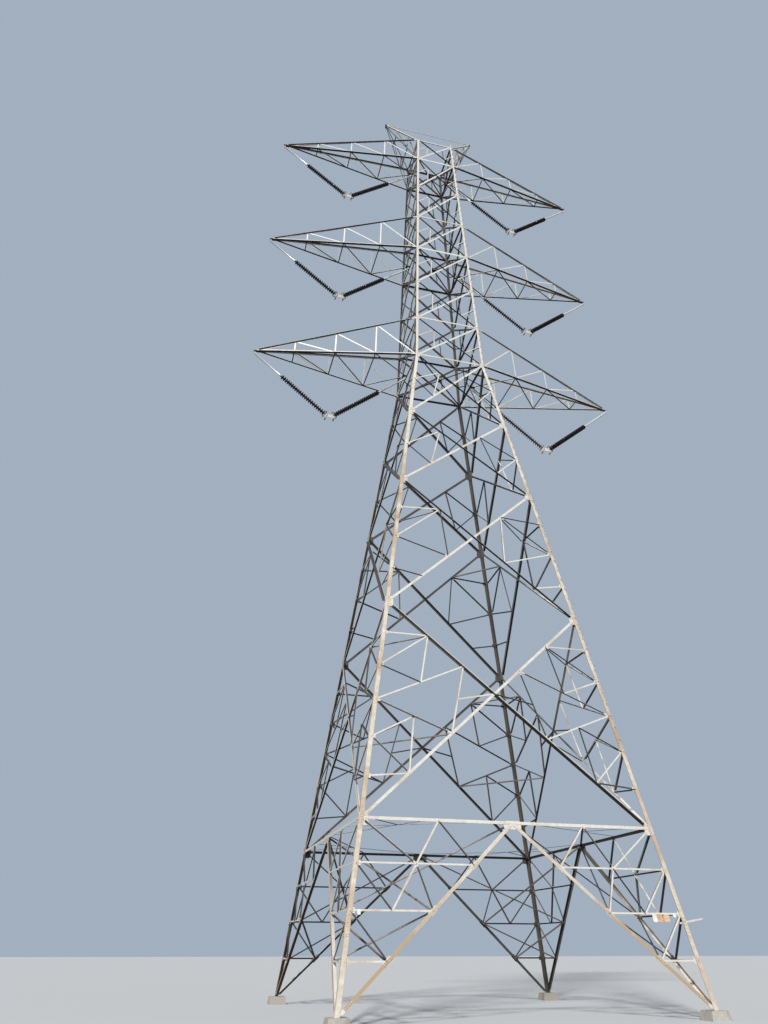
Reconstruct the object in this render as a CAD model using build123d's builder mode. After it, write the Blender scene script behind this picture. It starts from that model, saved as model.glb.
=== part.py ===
from build123d import *
from math import atan, atan2, cos, degrees, pi, sin, tan
import os

# Lattice transmission pylon, a double-circuit suspension tower for a high-voltage line.
# It is a scale model at 1:2, so each size here is half of the full-size tower's, in millimetres.
# X runs along the crossarms, Y along the line, Z up. The origin is on the ground under the middle.
# The body is square in plan: four corner legs of angle section, straight from the ground to the
# waist, and straighter still from the waist to the top. Each side is a flat lattice.

# Concrete caps that the legs stand on
CAP_HEIGHT = 150.0
CAP_TOP_SIDE = 320.0
CAP_BASE_SIDE = 380.0

# Heights of the node levels above the ground
BELT_Z = 3060.0
THIRD_Z = 7485.0
SECOND_Z = 10930.0
FIRST_Z = 13295.0
WAIST_Z = 15545.0
LOW_ARM_TOP_Z = 17000.0
LOW_MIDDLE_Z = 18525.0
MID_ARM_Z = 20040.0
MID_ARM_TOP_Z = 21535.0
HIGH_MIDDLE_Z = 23080.0
HIGH_ARM_Z = 24610.0
TOP_Z = 25695.0
HORN_Z = 27070.0

# Half the distance between the outer corners of the legs
FOOT_HALF = 3310.0
WAIST_HALF = 1010.0
TOP_HALF = 630.0

# Reach of each pair of arms from the middle of the tower
LOW_ARM_REACH = 5410.0
MID_ARM_REACH = 5285.0
HIGH_ARM_REACH = 5140.0
HORN_REACH = 1615.0

# Rolled angle sections: width of a flange and its thickness
LOWER_LEG_WIDTH = 100.0
LOWER_LEG_WALL = 8.0
UPPER_LEG_WIDTH = 80.0
UPPER_LEG_WALL = 6.0
LOWER_BAR_WIDTH = 55.0
LOWER_BAR_WALL = 4.0
UPPER_BAR_WIDTH = 45.0
UPPER_BAR_WALL = 3.0
CHORD_WIDTH = 50.0
CHORD_WALL = 4.0
WEB_WIDTH = 32.0
PLAN_BAR_WIDTH = 40.0
PLAN_BAR_WALL = 4.0
STRUT_WIDTH = 30.0
GUSSET_SIDE = 150.0
BELT_NODE = 0.5

# How near a bar's flat and its standing flange come to the next side's bars, and other gaps
CORNER_CLEARANCE = 4.0
FLANGE_CLEARANCE = 20.0
LEVEL_CLEARANCE = 2.0
SEAT_CLEARANCE = 0.3
FOOT_CLEARANCE = 30.0

# Heights of the struts' nodes, as shares of the way up each panel
BASE_LEG_NODES = (0.25, 0.5, 0.75)
LOWER_LEG_NODES = (0.333, 0.5, 0.667)
LOWER_CROSS_NODES = (0.185, 0.366, 0.69, 0.833)
THIRD_LEG_NODE = 0.5
THIRD_CROSS_NODES = (0.387, 0.77)

# Arms: posts at these shares of the way from the tip to the body
ARM_STATIONS = (0.25, 0.5, 0.75)
TIP_PLATE_LENGTH = 170.0
TIP_PLATE_WIDTH = 90.0
ROOT_PLATE_LENGTH = 110.0
ROOT_PLATE_WIDTH = 110.0
ARM_PLATE_WALL = 8.0

# Horns for the earth wires and the tie between their tips
HORN_INSET = 60.0
HORN_LEVEL_INSET = 30.0
HORN_STATIONS = (0.35, 0.7)
TIE_WIDTH = 40.0

# Hanging plates under the arms and the forks that swing on their pins
HANGER_DROP = 55.0
HANGER_WALL = 12.0
HANGER_WIDTH = 50.0
HANGER_INSET = 30.0
HANGER_CHAMFER = 12.0
PIN_RADIUS = 8.0
PIN_CLEARANCE = 0.5
PIN_SEAT = 4.0
EAR_WALL = 7.0
EAR_GAP = 1.0
EAR_REACH = HANGER_WALL / 2 + EAR_GAP + EAR_WALL
BRIDGE_GAP = 30.0
BRIDGE_HEIGHT = 16.0
LINK_WIDTH = 26.0
LINK_WALL = 14.0

# Insulator strings: discs joined cap to cap
SET_DROP = 1740.0
DISC_COUNT = 22
DISC_PITCH = 73.0
DISC_RADIUS = 66.0
DISC_CAP_RADIUS = 24.0
DISC_SIDES = 4
BALL_RADIUS = 11.0
BALL_LENGTH = 45.0

# Yoke under each pair of strings and the clamps for two conductors
YOKE_SPAN = 250.0
YOKE_HEIGHT = 90.0
YOKE_WALL = 10.0
YOKE_SEAT = 20.0
CLAMP_SPACING = 230.0
CLAMP_DROP = 50.0
CLAMP_LENGTH = 120.0
CLAMP_RADIUS = 20.0
CLAMP_SIDES = 8
STRAP_WIDTH = 16.0
CONDUCTOR_RADIUS = 11.0

SIDES = {"near": 0.0, "right": 90.0, "far": 180.0, "left": 270.0}
LOWER_LEAN = atan((FOOT_HALF - WAIST_HALF) / (WAIST_Z - CAP_HEIGHT))
UPPER_LEAN = atan((WAIST_HALF - TOP_HALF) / (TOP_Z - WAIST_Z))

os.makedirs("parts", exist_ok=True)


def half_width(height):
    """Half the body's width between the legs' outer corners at a height."""
    if height <= WAIST_Z:
        return FOOT_HALF - (height - CAP_HEIGHT) * tan(LOWER_LEAN)
    return WAIST_HALF - (height - WAIST_Z) * tan(UPPER_LEAN)


def side_plane(turn, base, lean, inset):
    """The plane of one side of the body, with its origin at height base, moved in by inset."""
    origin = Vector(0, -half_width(base), base).rotate(Axis.Z, turn)
    across = Vector(1, 0, 0).rotate(Axis.Z, turn)
    outward = Vector(0, -cos(lean), sin(lean)).rotate(Axis.Z, turn)
    return Plane(origin, x_dir=across, z_dir=outward).offset(-inset)


def strip(start, end, width, shift=0.0):
    """Add a bar's flat outline to the open sketch; shift moves it to the left of its run."""
    start, end = Vector(*start), Vector(*end)
    run = end - start
    turn = atan2(run.Y, run.X)
    middle = (start + end) * 0.5 + Vector(-sin(turn), cos(turn)) * shift
    with Locations(Location((middle.X, middle.Y, 0), (0, 0, degrees(turn)))):
        Rectangle(run.length, width)


def side_lattice(turn, base, lean, leg_width, leg_wall, low, high, angles, flats, struts, width, wall):
    """One flat side between two levels, with its bars' flats under the legs' flanges.

    angles are bars with a standing flange, flats are bars without one and struts are narrow
    flats. Each is a pair of points, and a point is an offset from the middle, as a share of the
    half width between the legs' gauge lines, and a height.
    """
    inset = leg_wall * cos(lean)
    plane = side_plane(turn, base, lean, inset)
    gauge = leg_width / 2

    def place(share, height):
        return (share * (half_width(height) - gauge), (height - base) / cos(lean))

    def trim(gap):
        edge = [
            (half_width(height) - gap, (height - base) / cos(lean)) for height in (low, high)
        ]
        with BuildLine() as outline:
            Polyline(edge[0], edge[1], (-edge[1][0], edge[1][1]), (-edge[0][0], edge[0][1]), close=True)
        make_face(outline.edges(), mode=Mode.INTERSECT)

    with BuildSketch(plane) as sheet:
        for start, end in angles + flats:
            strip(place(*start), place(*end), width)
        for start, end in struts:
            strip(place(*start), place(*end), STRUT_WIDTH)
        trim(leg_wall + wall + CORNER_CLEARANCE)
    extrude(sheet.sketch, amount=-wall)
    if not angles:
        return
    with BuildSketch(plane) as flanges:
        for start, end in angles:
            strip(place(*start), place(*end), wall, (width - wall) / 2)
        trim(leg_wall + width + FLANGE_CLEARANCE)
    extrude(flanges.sketch, amount=-width)


def crossed(low, high):
    """The two diagonals of one panel of a side."""
    return [((-1, low), (1, high)), ((1, low), (-1, high))]


def between(low, high, share):
    """The height at a share of the way up a panel."""
    return low + (high - low) * share


def gauge_half(height):
    """Half the distance between the gauge lines of the lower legs at a height."""
    return half_width(height) - LOWER_LEG_WIDTH / 2


def on_leg(low, high, share):
    """The node on the right-hand leg at a share of the way up a panel."""
    return (1.0, between(low, high, share))


def on_knee(low, high, share):
    """The node on the bar from the right-hand leg at low to the middle of the side at high."""
    height = between(low, high, share)
    return (gauge_half(low) * (1 - share) / gauge_half(height), height)


def on_cross(low, high, share):
    """The right-hand node on the diagonals of a crossed panel."""
    height = between(low, high, share)
    offset = abs(gauge_half(low) - (gauge_half(low) + gauge_half(high)) * share)
    return (offset / gauge_half(height), height)


def halfway(start, end):
    """The node in the middle of a bar."""
    height = (start[1] + end[1]) / 2
    offset = (start[0] * gauge_half(start[1]) + end[0] * gauge_half(end[1])) / 2
    return (offset / gauge_half(height), height)


def both_halves(bars):
    """Bars of a side's right half, and their mirror images."""
    return bars + [((-start[0], start[1]), (-end[0], end[1])) for start, end in bars]


def level_bar(height):
    """A horizontal bar of the cage that sits just above a level and runs out across the legs."""
    middle = height + LEVEL_CLEARANCE + UPPER_BAR_WIDTH / 2
    reach = half_width(middle) / (half_width(middle) - UPPER_LEG_WIDTH / 2)
    return [((-reach, middle), (reach, middle))]


# Corner legs
def corner_leg(side_x, side_y):
    """One leg: an angle whose corner points outwards, bent at the waist."""

    def section(height, width, wall):
        corner = half_width(height)
        outline = [(0, 0), (width, 0), (width, wall), (wall, wall), (wall, width), (0, width)]
        points = [(side_x * (corner - x), side_y * (corner - y)) for x, y in outline]
        with BuildSketch(Plane.XY.offset(height)) as profile:
            with BuildLine() as line:
                Polyline(*points, close=True)
            make_face(line.edges())
        return profile.sketch

    lower = [section(height, LOWER_LEG_WIDTH, LOWER_LEG_WALL) for height in (CAP_HEIGHT, WAIST_Z)]
    loft(lower, ruled=True)
    upper = [section(height, UPPER_LEG_WIDTH, UPPER_LEG_WALL) for height in (WAIST_Z, TOP_Z)]
    loft(upper, ruled=True)


for depth_name, side_y in (("near", -1), ("far", 1)):
    for hand_name, side_x in (("left", -1), ("right", 1)):
        with BuildPart() as leg:
            corner_leg(side_x, side_y)
        leg.part.label = f"leg_{depth_name}_{hand_name}"
        export_step(leg.part, f"parts/{leg.part.label}.step")

# Concrete caps that the legs stand on
with BuildPart() as footing_caps:
    cap_reach = half_width(CAP_HEIGHT) - LOWER_LEG_WIDTH / 2
    with BuildSketch(Plane.XY):
        with GridLocations(2 * cap_reach, 2 * cap_reach, 2, 2):
            Rectangle(CAP_BASE_SIDE, CAP_BASE_SIDE)
    extrude(amount=CAP_HEIGHT, taper=degrees(atan((CAP_BASE_SIDE - CAP_TOP_SIDE) / 2 / CAP_HEIGHT)))
footing_caps.part.label = "footing_caps"
export_step(footing_caps.part, "parts/footing_caps.step")

# Flat lattice sides of the body
belt_top = BELT_Z + LOWER_BAR_WIDTH / 2
cage_levels = [
    WAIST_Z, LOW_ARM_TOP_Z, LOW_MIDDLE_Z, MID_ARM_Z, MID_ARM_TOP_Z, HIGH_MIDDLE_Z, HIGH_ARM_Z, TOP_Z,
]
cage_diagonals = []
for low, high in zip(cage_levels, cage_levels[1:]):
    cage_diagonals += crossed(low, high)
cage_rails = level_bar(TOP_Z - UPPER_BAR_WIDTH - 2 * LEVEL_CLEARANCE)
for level in (WAIST_Z, LOW_ARM_TOP_Z, MID_ARM_Z, MID_ARM_TOP_Z, HIGH_ARM_Z):
    cage_rails += level_bar(level)

# Struts between the legs and the main bars, by the right half of each panel
base_leg = [on_leg(CAP_HEIGHT, BELT_Z, share) for share in BASE_LEG_NODES]
base_knee = [on_knee(CAP_HEIGHT, BELT_Z, share) for share in BASE_LEG_NODES]
base_hub = halfway(base_leg[2], base_knee[2])
base_struts = both_halves(
    list(zip(base_leg, base_knee))
    + [((1, BELT_Z), base_hub), (base_hub, base_knee[1]), ((BELT_NODE, BELT_Z), base_hub)]
)
lower_leg = [on_leg(BELT_Z, THIRD_Z, share) for share in LOWER_LEG_NODES]
lower_cross = [on_cross(BELT_Z, THIRD_Z, share) for share in LOWER_CROSS_NODES]
lower_struts = both_halves([
    (lower_cross[3], lower_leg[2]), (lower_cross[2], lower_leg[1]), (lower_cross[2], lower_cross[1]),
    (lower_cross[1], lower_leg[1]), (lower_cross[0], lower_leg[0]),
])
third_leg = on_leg(THIRD_Z, SECOND_Z, THIRD_LEG_NODE)
third_struts = both_halves([(on_cross(THIRD_Z, SECOND_Z, share), third_leg) for share in THIRD_CROSS_NODES])

for side_name, turn in SIDES.items():
    with BuildPart() as base_side:
        side_lattice(
            turn, CAP_HEIGHT, LOWER_LEAN, LOWER_LEG_WIDTH, LOWER_LEG_WALL,
            CAP_HEIGHT + FOOT_CLEARANCE, belt_top,
            [((0, BELT_Z), (-1, CAP_HEIGHT)), ((0, BELT_Z), (1, CAP_HEIGHT)), ((-1, BELT_Z), (1, BELT_Z))],
            [], base_struts, LOWER_BAR_WIDTH, LOWER_BAR_WALL,
        )
    base_side.part.label = f"base_bracing_{side_name}"
    export_step(base_side.part, f"parts/{base_side.part.label}.step")

    with BuildPart() as lower_side:
        side_lattice(
            turn, CAP_HEIGHT, LOWER_LEAN, LOWER_LEG_WIDTH, LOWER_LEG_WALL,
            belt_top + LEVEL_CLEARANCE, THIRD_Z, crossed(BELT_Z, THIRD_Z),
            [], lower_struts, LOWER_BAR_WIDTH, LOWER_BAR_WALL,
        )
    lower_side.part.label = f"lower_bracing_{side_name}"
    export_step(lower_side.part, f"parts/{lower_side.part.label}.step")

    with BuildPart() as middle_side:
        side_lattice(
            turn, CAP_HEIGHT, LOWER_LEAN, LOWER_LEG_WIDTH, LOWER_LEG_WALL,
            THIRD_Z + LEVEL_CLEARANCE, WAIST_Z - LEVEL_CLEARANCE, [],
            crossed(THIRD_Z, SECOND_Z) + crossed(SECOND_Z, FIRST_Z) + crossed(FIRST_Z, WAIST_Z),
            third_struts, LOWER_BAR_WIDTH, LOWER_BAR_WALL,
        )
    middle_side.part.label = f"middle_bracing_{side_name}"
    export_step(middle_side.part, f"parts/{middle_side.part.label}.step")

    with BuildPart() as cage_side:
        side_lattice(
            turn, WAIST_Z, UPPER_LEAN, UPPER_LEG_WIDTH, UPPER_LEG_WALL,
            WAIST_Z + LEVEL_CLEARANCE, TOP_Z - LEVEL_CLEARANCE, cage_rails, cage_diagonals,
            [], UPPER_BAR_WIDTH, UPPER_BAR_WALL,
        )
    cage_side.part.label = f"cage_bracing_{side_name}"
    export_step(cage_side.part, f"parts/{cage_side.part.label}.step")


def flat_frame(height, inner_half, bars, width, wall, trims):
    """Flat bars lying level inside the body, cut to the square between its sides."""
    with BuildSketch(Plane.XY.offset(height)) as flat:
        for start, end in bars:
            strip(start, end, width)
        Rectangle(2 * inner_half, 2 * inner_half, mode=Mode.INTERSECT)
        for corner, size in trims:
            with Locations(corner):
                Rectangle(*size, mode=Mode.SUBTRACT)
    extrude(flat.sketch, amount=wall)


# Level frames inside the body. At the belt two bars cross in each corner, each from the middle of
# one side to BELT_NODE of the next, and a third joins their crossing to the leg. At the arms, crosses.
belt_frame_inset = LOWER_LEG_WALL + LEVEL_CLEARANCE
belt_frame_z = belt_top - belt_frame_inset * sin(LOWER_LEAN) + SEAT_CLEARANCE
belt_frame_half = half_width(belt_frame_z) - belt_frame_inset
with BuildPart() as belt_frame:
    reach = belt_frame_half
    node = reach * BELT_NODE
    crossing = reach / (2 - BELT_NODE)
    corner = reach - LOWER_BAR_WIDTH / 2
    belt_bars = []
    for side_x in (-1, 1):
        for side_y in (-1, 1):
            belt_bars += [
                ((0, side_y * reach), (side_x * reach, side_y * node)),
                ((side_x * reach, 0), (side_x * node, side_y * reach)),
                ((side_x * crossing, side_y * crossing), (side_x * corner, side_y * corner)),
            ]
    flat_frame(
        belt_frame_z, belt_frame_half, belt_bars, PLAN_BAR_WIDTH, PLAN_BAR_WALL,
        [((0, 0), (2 * CORNER_CLEARANCE, 2 * reach)), ((0, 0), (2 * reach, 2 * CORNER_CLEARANCE))],
    )
belt_frame.part.label = "belt_frame"
export_step(belt_frame.part, "parts/belt_frame.step")

for frame_name, level in (("low", WAIST_Z), ("middle", MID_ARM_Z), ("high", HIGH_ARM_Z)):
    frame_z = level + LEVEL_CLEARANCE + UPPER_BAR_WIDTH * cos(UPPER_LEAN) + SEAT_CLEARANCE
    frame_half = half_width(frame_z + PLAN_BAR_WALL) - UPPER_LEG_WALL - UPPER_BAR_WALL - SEAT_CLEARANCE
    with BuildPart() as cross_frame:
        flat_frame(
            frame_z, frame_half,
            [((-frame_half, -frame_half), (frame_half, frame_half)),
             ((-frame_half, frame_half), (frame_half, -frame_half))],
            PLAN_BAR_WIDTH, PLAN_BAR_WALL, [],
        )
        with BuildSketch(Plane.XY.offset(frame_z)) as gusset:
            Rectangle(GUSSET_SIDE, GUSSET_SIDE)
        extrude(gusset.sketch, amount=PLAN_BAR_WALL)
    cross_frame.part.label = f"cross_frame_{frame_name}"
    export_step(cross_frame.part, f"parts/{cross_frame.part.label}.step")


def sheet_plane(corner, other, tip, inner):
    """The plane through two corners and the tip of an arm, with its normal away from inner."""
    outward = (tip - corner).cross(other - corner).normalized()
    if outward.dot(inner - corner) > 0:
        outward = -outward
    return Plane(corner, x_dir=tip - corner, z_dir=outward)


def flat_point(plane, point):
    """A point's place on a plane."""
    local = plane.to_local_coords(point)
    return (local.X, local.Y)


def arm_sheet(corner, other, tip, inner, webs):
    """One flat side of a tapering arm: two chords from the body to the tip and the webs between."""
    plane = sheet_plane(corner, other, tip, inner)
    low, high, end = (flat_point(plane, point) for point in (corner, other, tip))
    side = 1 if high[1] > 0 else -1
    with BuildSketch(plane) as sheet:
        strip(low, end, CHORD_WIDTH, side * CHORD_WIDTH / 2)
        strip(high, end, CHORD_WIDTH, -side * CHORD_WIDTH / 2)
        for start, finish in webs:
            strip(flat_point(plane, start), flat_point(plane, finish), WEB_WIDTH)
        with BuildLine() as outline:
            Polyline(low, end, high, close=True)
        make_face(outline.edges(), mode=Mode.INTERSECT)
    extrude(sheet.sketch, amount=-CHORD_WALL)


def chord_flange(corner, other, tip, inner):
    """The flange of one chord that lies in the arm's bottom or top."""
    plane = sheet_plane(corner, other, tip, inner)
    root, end, facing = (flat_point(plane, point) for point in (corner, tip, other))
    side = 1 if facing[1] > 0 else -1
    with BuildSketch(plane) as flange:
        strip(root, end, CHORD_WIDTH, side * CHORD_WIDTH / 2)
    extrude(flange.sketch, amount=-CHORD_WALL)


def along(tip, root, share):
    """The point at a share of the way from the tip to the root."""
    return tip + (root - tip) * share


def arm_side(low_z, high_z, inset, tip, stations):
    """The near side frame of a right-hand arm, cut to its own half and to the body's face."""
    low_near, low_far, high_near, high_far = (
        Vector(half_width(height), side_y * (half_width(height) - inset), height)
        for height in (low_z, high_z) for side_y in (-1, 1)
    )
    core = (low_near + high_far + tip) * (1 / 3)
    webs = [(along(tip, low_near, share), along(tip, high_near, share)) for share in stations]
    feet = list(stations[1:]) + [1.0]
    webs += [(along(tip, high_near, share), along(tip, low_near, foot)) for share, foot in zip(stations, feet)]
    arm_sheet(low_near, high_near, tip, core, webs)
    chord_flange(low_near, low_far, tip, core)
    chord_flange(high_near, high_far, tip, core)
    split(bisect_by=BODY_FACE, keep=Keep.TOP)
    split(bisect_by=Plane.XZ.offset(SEAT_CLEARANCE / 2), keep=Keep.TOP)


def arm_floor(low_z, reach, stations):
    """The flat bars that lie on the bottom chords: cross struts, diagonals and the root's plate."""
    root = half_width(low_z)
    tip = Vector(reach, 0, 0)
    gauge = CHORD_WIDTH / 2
    near, far = (Vector(root, side_y * root, 0) for side_y in (-1, 1))

    def on_chord(chord, share):
        point = along(tip, chord, share)
        return (point.X, point.Y - gauge * (1 if chord.Y > 0 else -1))

    struts = [(on_chord(near, share), on_chord(far, share)) for share in stations]
    diagonals = [(on_chord(near, inner), on_chord(far, outer)) for outer, inner in zip(stations, stations[1:])]
    legs = [(on_chord(chord, stations[-1]), (root, 0)) for chord in (near, far)]
    floor_z = low_z + CHORD_WALL + SEAT_CLEARANCE
    with BuildSketch(Plane.XY.offset(floor_z)) as floor:
        for start, end in struts + diagonals + legs:
            strip(start, end, WEB_WIDTH)
        with Locations((root, 0)):
            Rectangle(2 * ROOT_PLATE_LENGTH, ROOT_PLATE_WIDTH)
    extrude(floor.sketch, amount=ARM_PLATE_WALL)
    split(bisect_by=BAR_FACE, keep=Keep.TOP)


def hanger(centre_x, top_z, pin_z):
    """A plate across the arm that hangs from top_z, with a pin hole along X at pin_z."""
    bottom_z = pin_z - HANGER_WIDTH / 2
    with BuildSketch(Plane.YZ.offset(centre_x - HANGER_WALL / 2)) as plate:
        with Locations((0, (top_z + bottom_z) / 2)):
            Rectangle(HANGER_WIDTH, top_z - bottom_z)
        chamfer(plate.vertices().group_by(Axis.Z)[0], HANGER_CHAMFER)
        with Locations((0, pin_z)):
            Circle(PIN_RADIUS + PIN_CLEARANCE, mode=Mode.SUBTRACT)
    extrude(plate.sketch, amount=HANGER_WALL)


BODY_FACE = side_plane(90, WAIST_Z, UPPER_LEAN, 0)
BAR_FACE = side_plane(90, WAIST_Z, UPPER_LEAN, UPPER_LEG_WALL * cos(UPPER_LEAN))
ARMS = {
    "low": (WAIST_Z, LOW_ARM_TOP_Z, LOW_ARM_REACH),
    "middle": (MID_ARM_Z, MID_ARM_TOP_Z, MID_ARM_REACH),
    "high": (HIGH_ARM_Z, TOP_Z, HIGH_ARM_REACH),
}
HANDS = {"right": 0.0, "left": 180.0}


def place_and_export(piece, name, turn):
    """Turn a finished right-hand piece about the tower's axis and write it."""
    with BuildPart() as placed:
        with Locations(Location((0, 0, 0), (0, 0, turn))):
            add(piece)
    placed.part.label = name
    export_step(placed.part, f"parts/{name}.step")


# Crossarms: two side frames, the floor between them and the plate under the tip
for level_name, (low_z, high_z, reach) in ARMS.items():
    pin_z = low_z - HANGER_DROP
    with BuildPart() as near_side:
        arm_side(low_z, high_z, 0, Vector(reach, 0, low_z), ARM_STATIONS)
        split(bisect_by=Plane.XY.offset(low_z), keep=Keep.TOP)
    with BuildPart() as floor:
        arm_floor(low_z, reach, ARM_STATIONS)
        hanger(half_width(low_z) + HANGER_INSET, low_z + CHORD_WALL + SEAT_CLEARANCE, pin_z)
    tip_plate_z = low_z - SEAT_CLEARANCE - ARM_PLATE_WALL
    with BuildPart() as tip_hanger:
        with BuildSketch(Plane.XY.offset(tip_plate_z)):
            with Locations((reach - TIP_PLATE_LENGTH / 2, 0)):
                Rectangle(TIP_PLATE_LENGTH, TIP_PLATE_WIDTH)
        extrude(amount=ARM_PLATE_WALL)
        hanger(reach - HANGER_INSET, tip_plate_z, pin_z)
    with BuildPart() as crossarm:
        add(near_side.part)
        mirror(near_side.part, about=Plane.XZ)
        add(floor.part)
        add(tip_hanger.part)
    for hand, turn in HANDS.items():
        place_and_export(crossarm.part, f"crossarm_{level_name}_{hand}", turn)

# Horns for the two earth wires, with the tie between their tips
horn_low_z = HIGH_ARM_Z + HORN_LEVEL_INSET
horn_high_z = TOP_Z - HORN_LEVEL_INSET
with BuildPart() as horn_side:
    arm_side(horn_low_z, horn_high_z, HORN_INSET, Vector(HORN_REACH, 0, HORN_Z), HORN_STATIONS)
with BuildPart() as horns:
    for turn in HANDS.values():
        with Locations(Location((0, 0, 0), (0, 0, turn))):
            add(horn_side.part)
        with Locations(Location((0, 0, 0), (0, 0, turn))):
            add(mirror(horn_side.part, about=Plane.XZ, mode=Mode.PRIVATE))
    with BuildSketch(Plane.XY.offset(HORN_Z - CHORD_WALL)) as tie:
        Rectangle(2 * HORN_REACH, TIE_WIDTH)
    extrude(tie.sketch, amount=CHORD_WALL)
    with BuildSketch(Plane.XZ.offset(-CHORD_WALL / 2)) as tie_web:
        with Locations((0, HORN_Z - TIE_WIDTH / 2)):
            Rectangle(2 * HORN_REACH, TIE_WIDTH)
    extrude(tie_web.sketch, amount=CHORD_WALL)
horns.part.label = "earth_wire_horns"
export_step(horns.part, "parts/earth_wire_horns.step")


# Insulator sets: two strings of discs in a V that carry a yoke with two conductor clamps
def link(pin_x, pin_z, foot):
    """A fork on the hanger's pin and the bar from it down to the string's top end, foot."""
    bridge_z = pin_z - BRIDGE_GAP - BRIDGE_HEIGHT / 2
    start = Vector(pin_x, 0, bridge_z)
    with BuildSketch(Plane.XZ.offset(-HANGER_WIDTH / 2)) as fork:
        with Locations((pin_x, pin_z - BRIDGE_GAP / 2)):
            Rectangle(2 * EAR_REACH, BRIDGE_GAP + HANGER_WIDTH / 2)
            Rectangle(HANGER_WALL + 2 * EAR_GAP, BRIDGE_GAP + HANGER_WIDTH, mode=Mode.SUBTRACT)
        with Locations((pin_x, bridge_z)):
            Rectangle(2 * EAR_REACH, BRIDGE_HEIGHT)
    extrude(fork.sketch, amount=HANGER_WIDTH)
    pin_reach = HANGER_WALL / 2 + EAR_GAP + PIN_SEAT
    with BuildSketch(Plane.YZ.offset(pin_x - pin_reach)) as pin:
        with Locations((0, pin_z)):
            Circle(PIN_RADIUS)
    extrude(pin.sketch, amount=2 * pin_reach)
    run = foot - start
    with BuildSketch(Plane(start, x_dir=(0, 1, 0), z_dir=run)) as bar:
        Rectangle(LINK_WALL, LINK_WIDTH)
    extrude(bar.sketch, amount=run.length)


# One string of discs, upright, from its ball at the origin: each disc narrows from its rim to
# the cap above it
disc_taper = degrees(atan((DISC_RADIUS - DISC_CAP_RADIUS) * cos(pi / DISC_SIDES) / DISC_PITCH))
with BuildPart() as string:
    with BuildSketch() as ball:
        RegularPolygon(BALL_RADIUS, DISC_SIDES)
    extrude(amount=BALL_LENGTH)
    for number in range(DISC_COUNT):
        with BuildSketch(Plane.XY.offset(BALL_LENGTH + number * DISC_PITCH)) as rim:
            RegularPolygon(DISC_RADIUS, DISC_SIDES)
        extrude(amount=DISC_PITCH, taper=disc_taper)
string_length = BALL_LENGTH + DISC_COUNT * DISC_PITCH

for level_name, (low_z, high_z, reach) in ARMS.items():
    pin_z = low_z - HANGER_DROP
    anchor_z = pin_z - BRIDGE_GAP - BRIDGE_HEIGHT / 2
    root_x = half_width(low_z) + HANGER_INSET
    tip_x = reach - HANGER_INSET
    centre_x = (root_x + tip_x) / 2
    yoke_z = pin_z - SET_DROP
    yoke_bottom_z = yoke_z - YOKE_HEIGHT
    clamp_z = yoke_bottom_z - CLAMP_DROP
    feet = {}
    for anchor_x, side in ((root_x, -1), (tip_x, 1)):
        foot = Vector(centre_x + side * YOKE_SPAN / 2, 0, yoke_z)
        feet[side] = (foot, (Vector(anchor_x, 0, anchor_z) - foot).normalized(), anchor_x)
    with BuildPart() as strings:
        for foot, upward, anchor_x in feet.values():
            with Locations(Plane(foot, x_dir=(0, 1, 0), z_dir=upward).location):
                add(string.part)
    with BuildPart() as fittings:
        for foot, upward, anchor_x in feet.values():
            link(anchor_x, pin_z, foot + upward * string_length)
        outline = []
        for side, (foot, upward, anchor_x) in feet.items():
            across = Vector(upward.Z, 0, -upward.X) * YOKE_SEAT
            outline += [(point.X, point.Z) for point in (foot - across, foot + across)]
        outline += [(centre_x + side * YOKE_SPAN / 2, yoke_bottom_z) for side in (1, -1)]
        with BuildSketch(Plane.XZ.offset(-YOKE_WALL / 2)) as yoke:
            with BuildLine() as line:
                Polyline(*outline, close=True)
            make_face(line.edges())
            for side in (-1, 1):
                with Locations((centre_x + side * CLAMP_SPACING / 2, (clamp_z + yoke_bottom_z) / 2)):
                    Rectangle(STRAP_WIDTH, CLAMP_DROP)
        extrude(yoke.sketch, amount=YOKE_WALL)
        with BuildSketch(Plane.XZ.offset(-CLAMP_LENGTH / 2)) as sleeves:
            with Locations(*[(centre_x + side * CLAMP_SPACING / 2, clamp_z) for side in (-1, 1)]):
                RegularPolygon(CLAMP_RADIUS, CLAMP_SIDES)
        extrude(sleeves.sketch, amount=CLAMP_LENGTH)
        with BuildSketch(Plane.XZ.offset(-CLAMP_LENGTH / 2)) as bores:
            with Locations(*[(centre_x + side * CLAMP_SPACING / 2, clamp_z) for side in (-1, 1)]):
                Circle(CONDUCTOR_RADIUS)
        extrude(bores.sketch, amount=CLAMP_LENGTH, mode=Mode.SUBTRACT)
    for hand, turn in HANDS.items():
        place_and_export(strings.part, f"insulator_strings_{level_name}_{hand}", turn)
        place_and_export(fittings.part, f"insulator_fittings_{level_name}_{hand}", turn)
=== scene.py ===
"""Lattice transmission pylon at 1:2: the finishes, the fine bracing and the line fittings.

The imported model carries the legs, the main bracing, the arms and the insulator sets. This script
draws the legs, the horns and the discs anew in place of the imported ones, adds the redundant
bracing, the gussets, the bolts and the small fittings, gives every surface its finish, and sets
the camera and the studio. Lengths are in metres.
"""

import logging
import math
from dataclasses import dataclass, field
from enum import Enum

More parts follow.
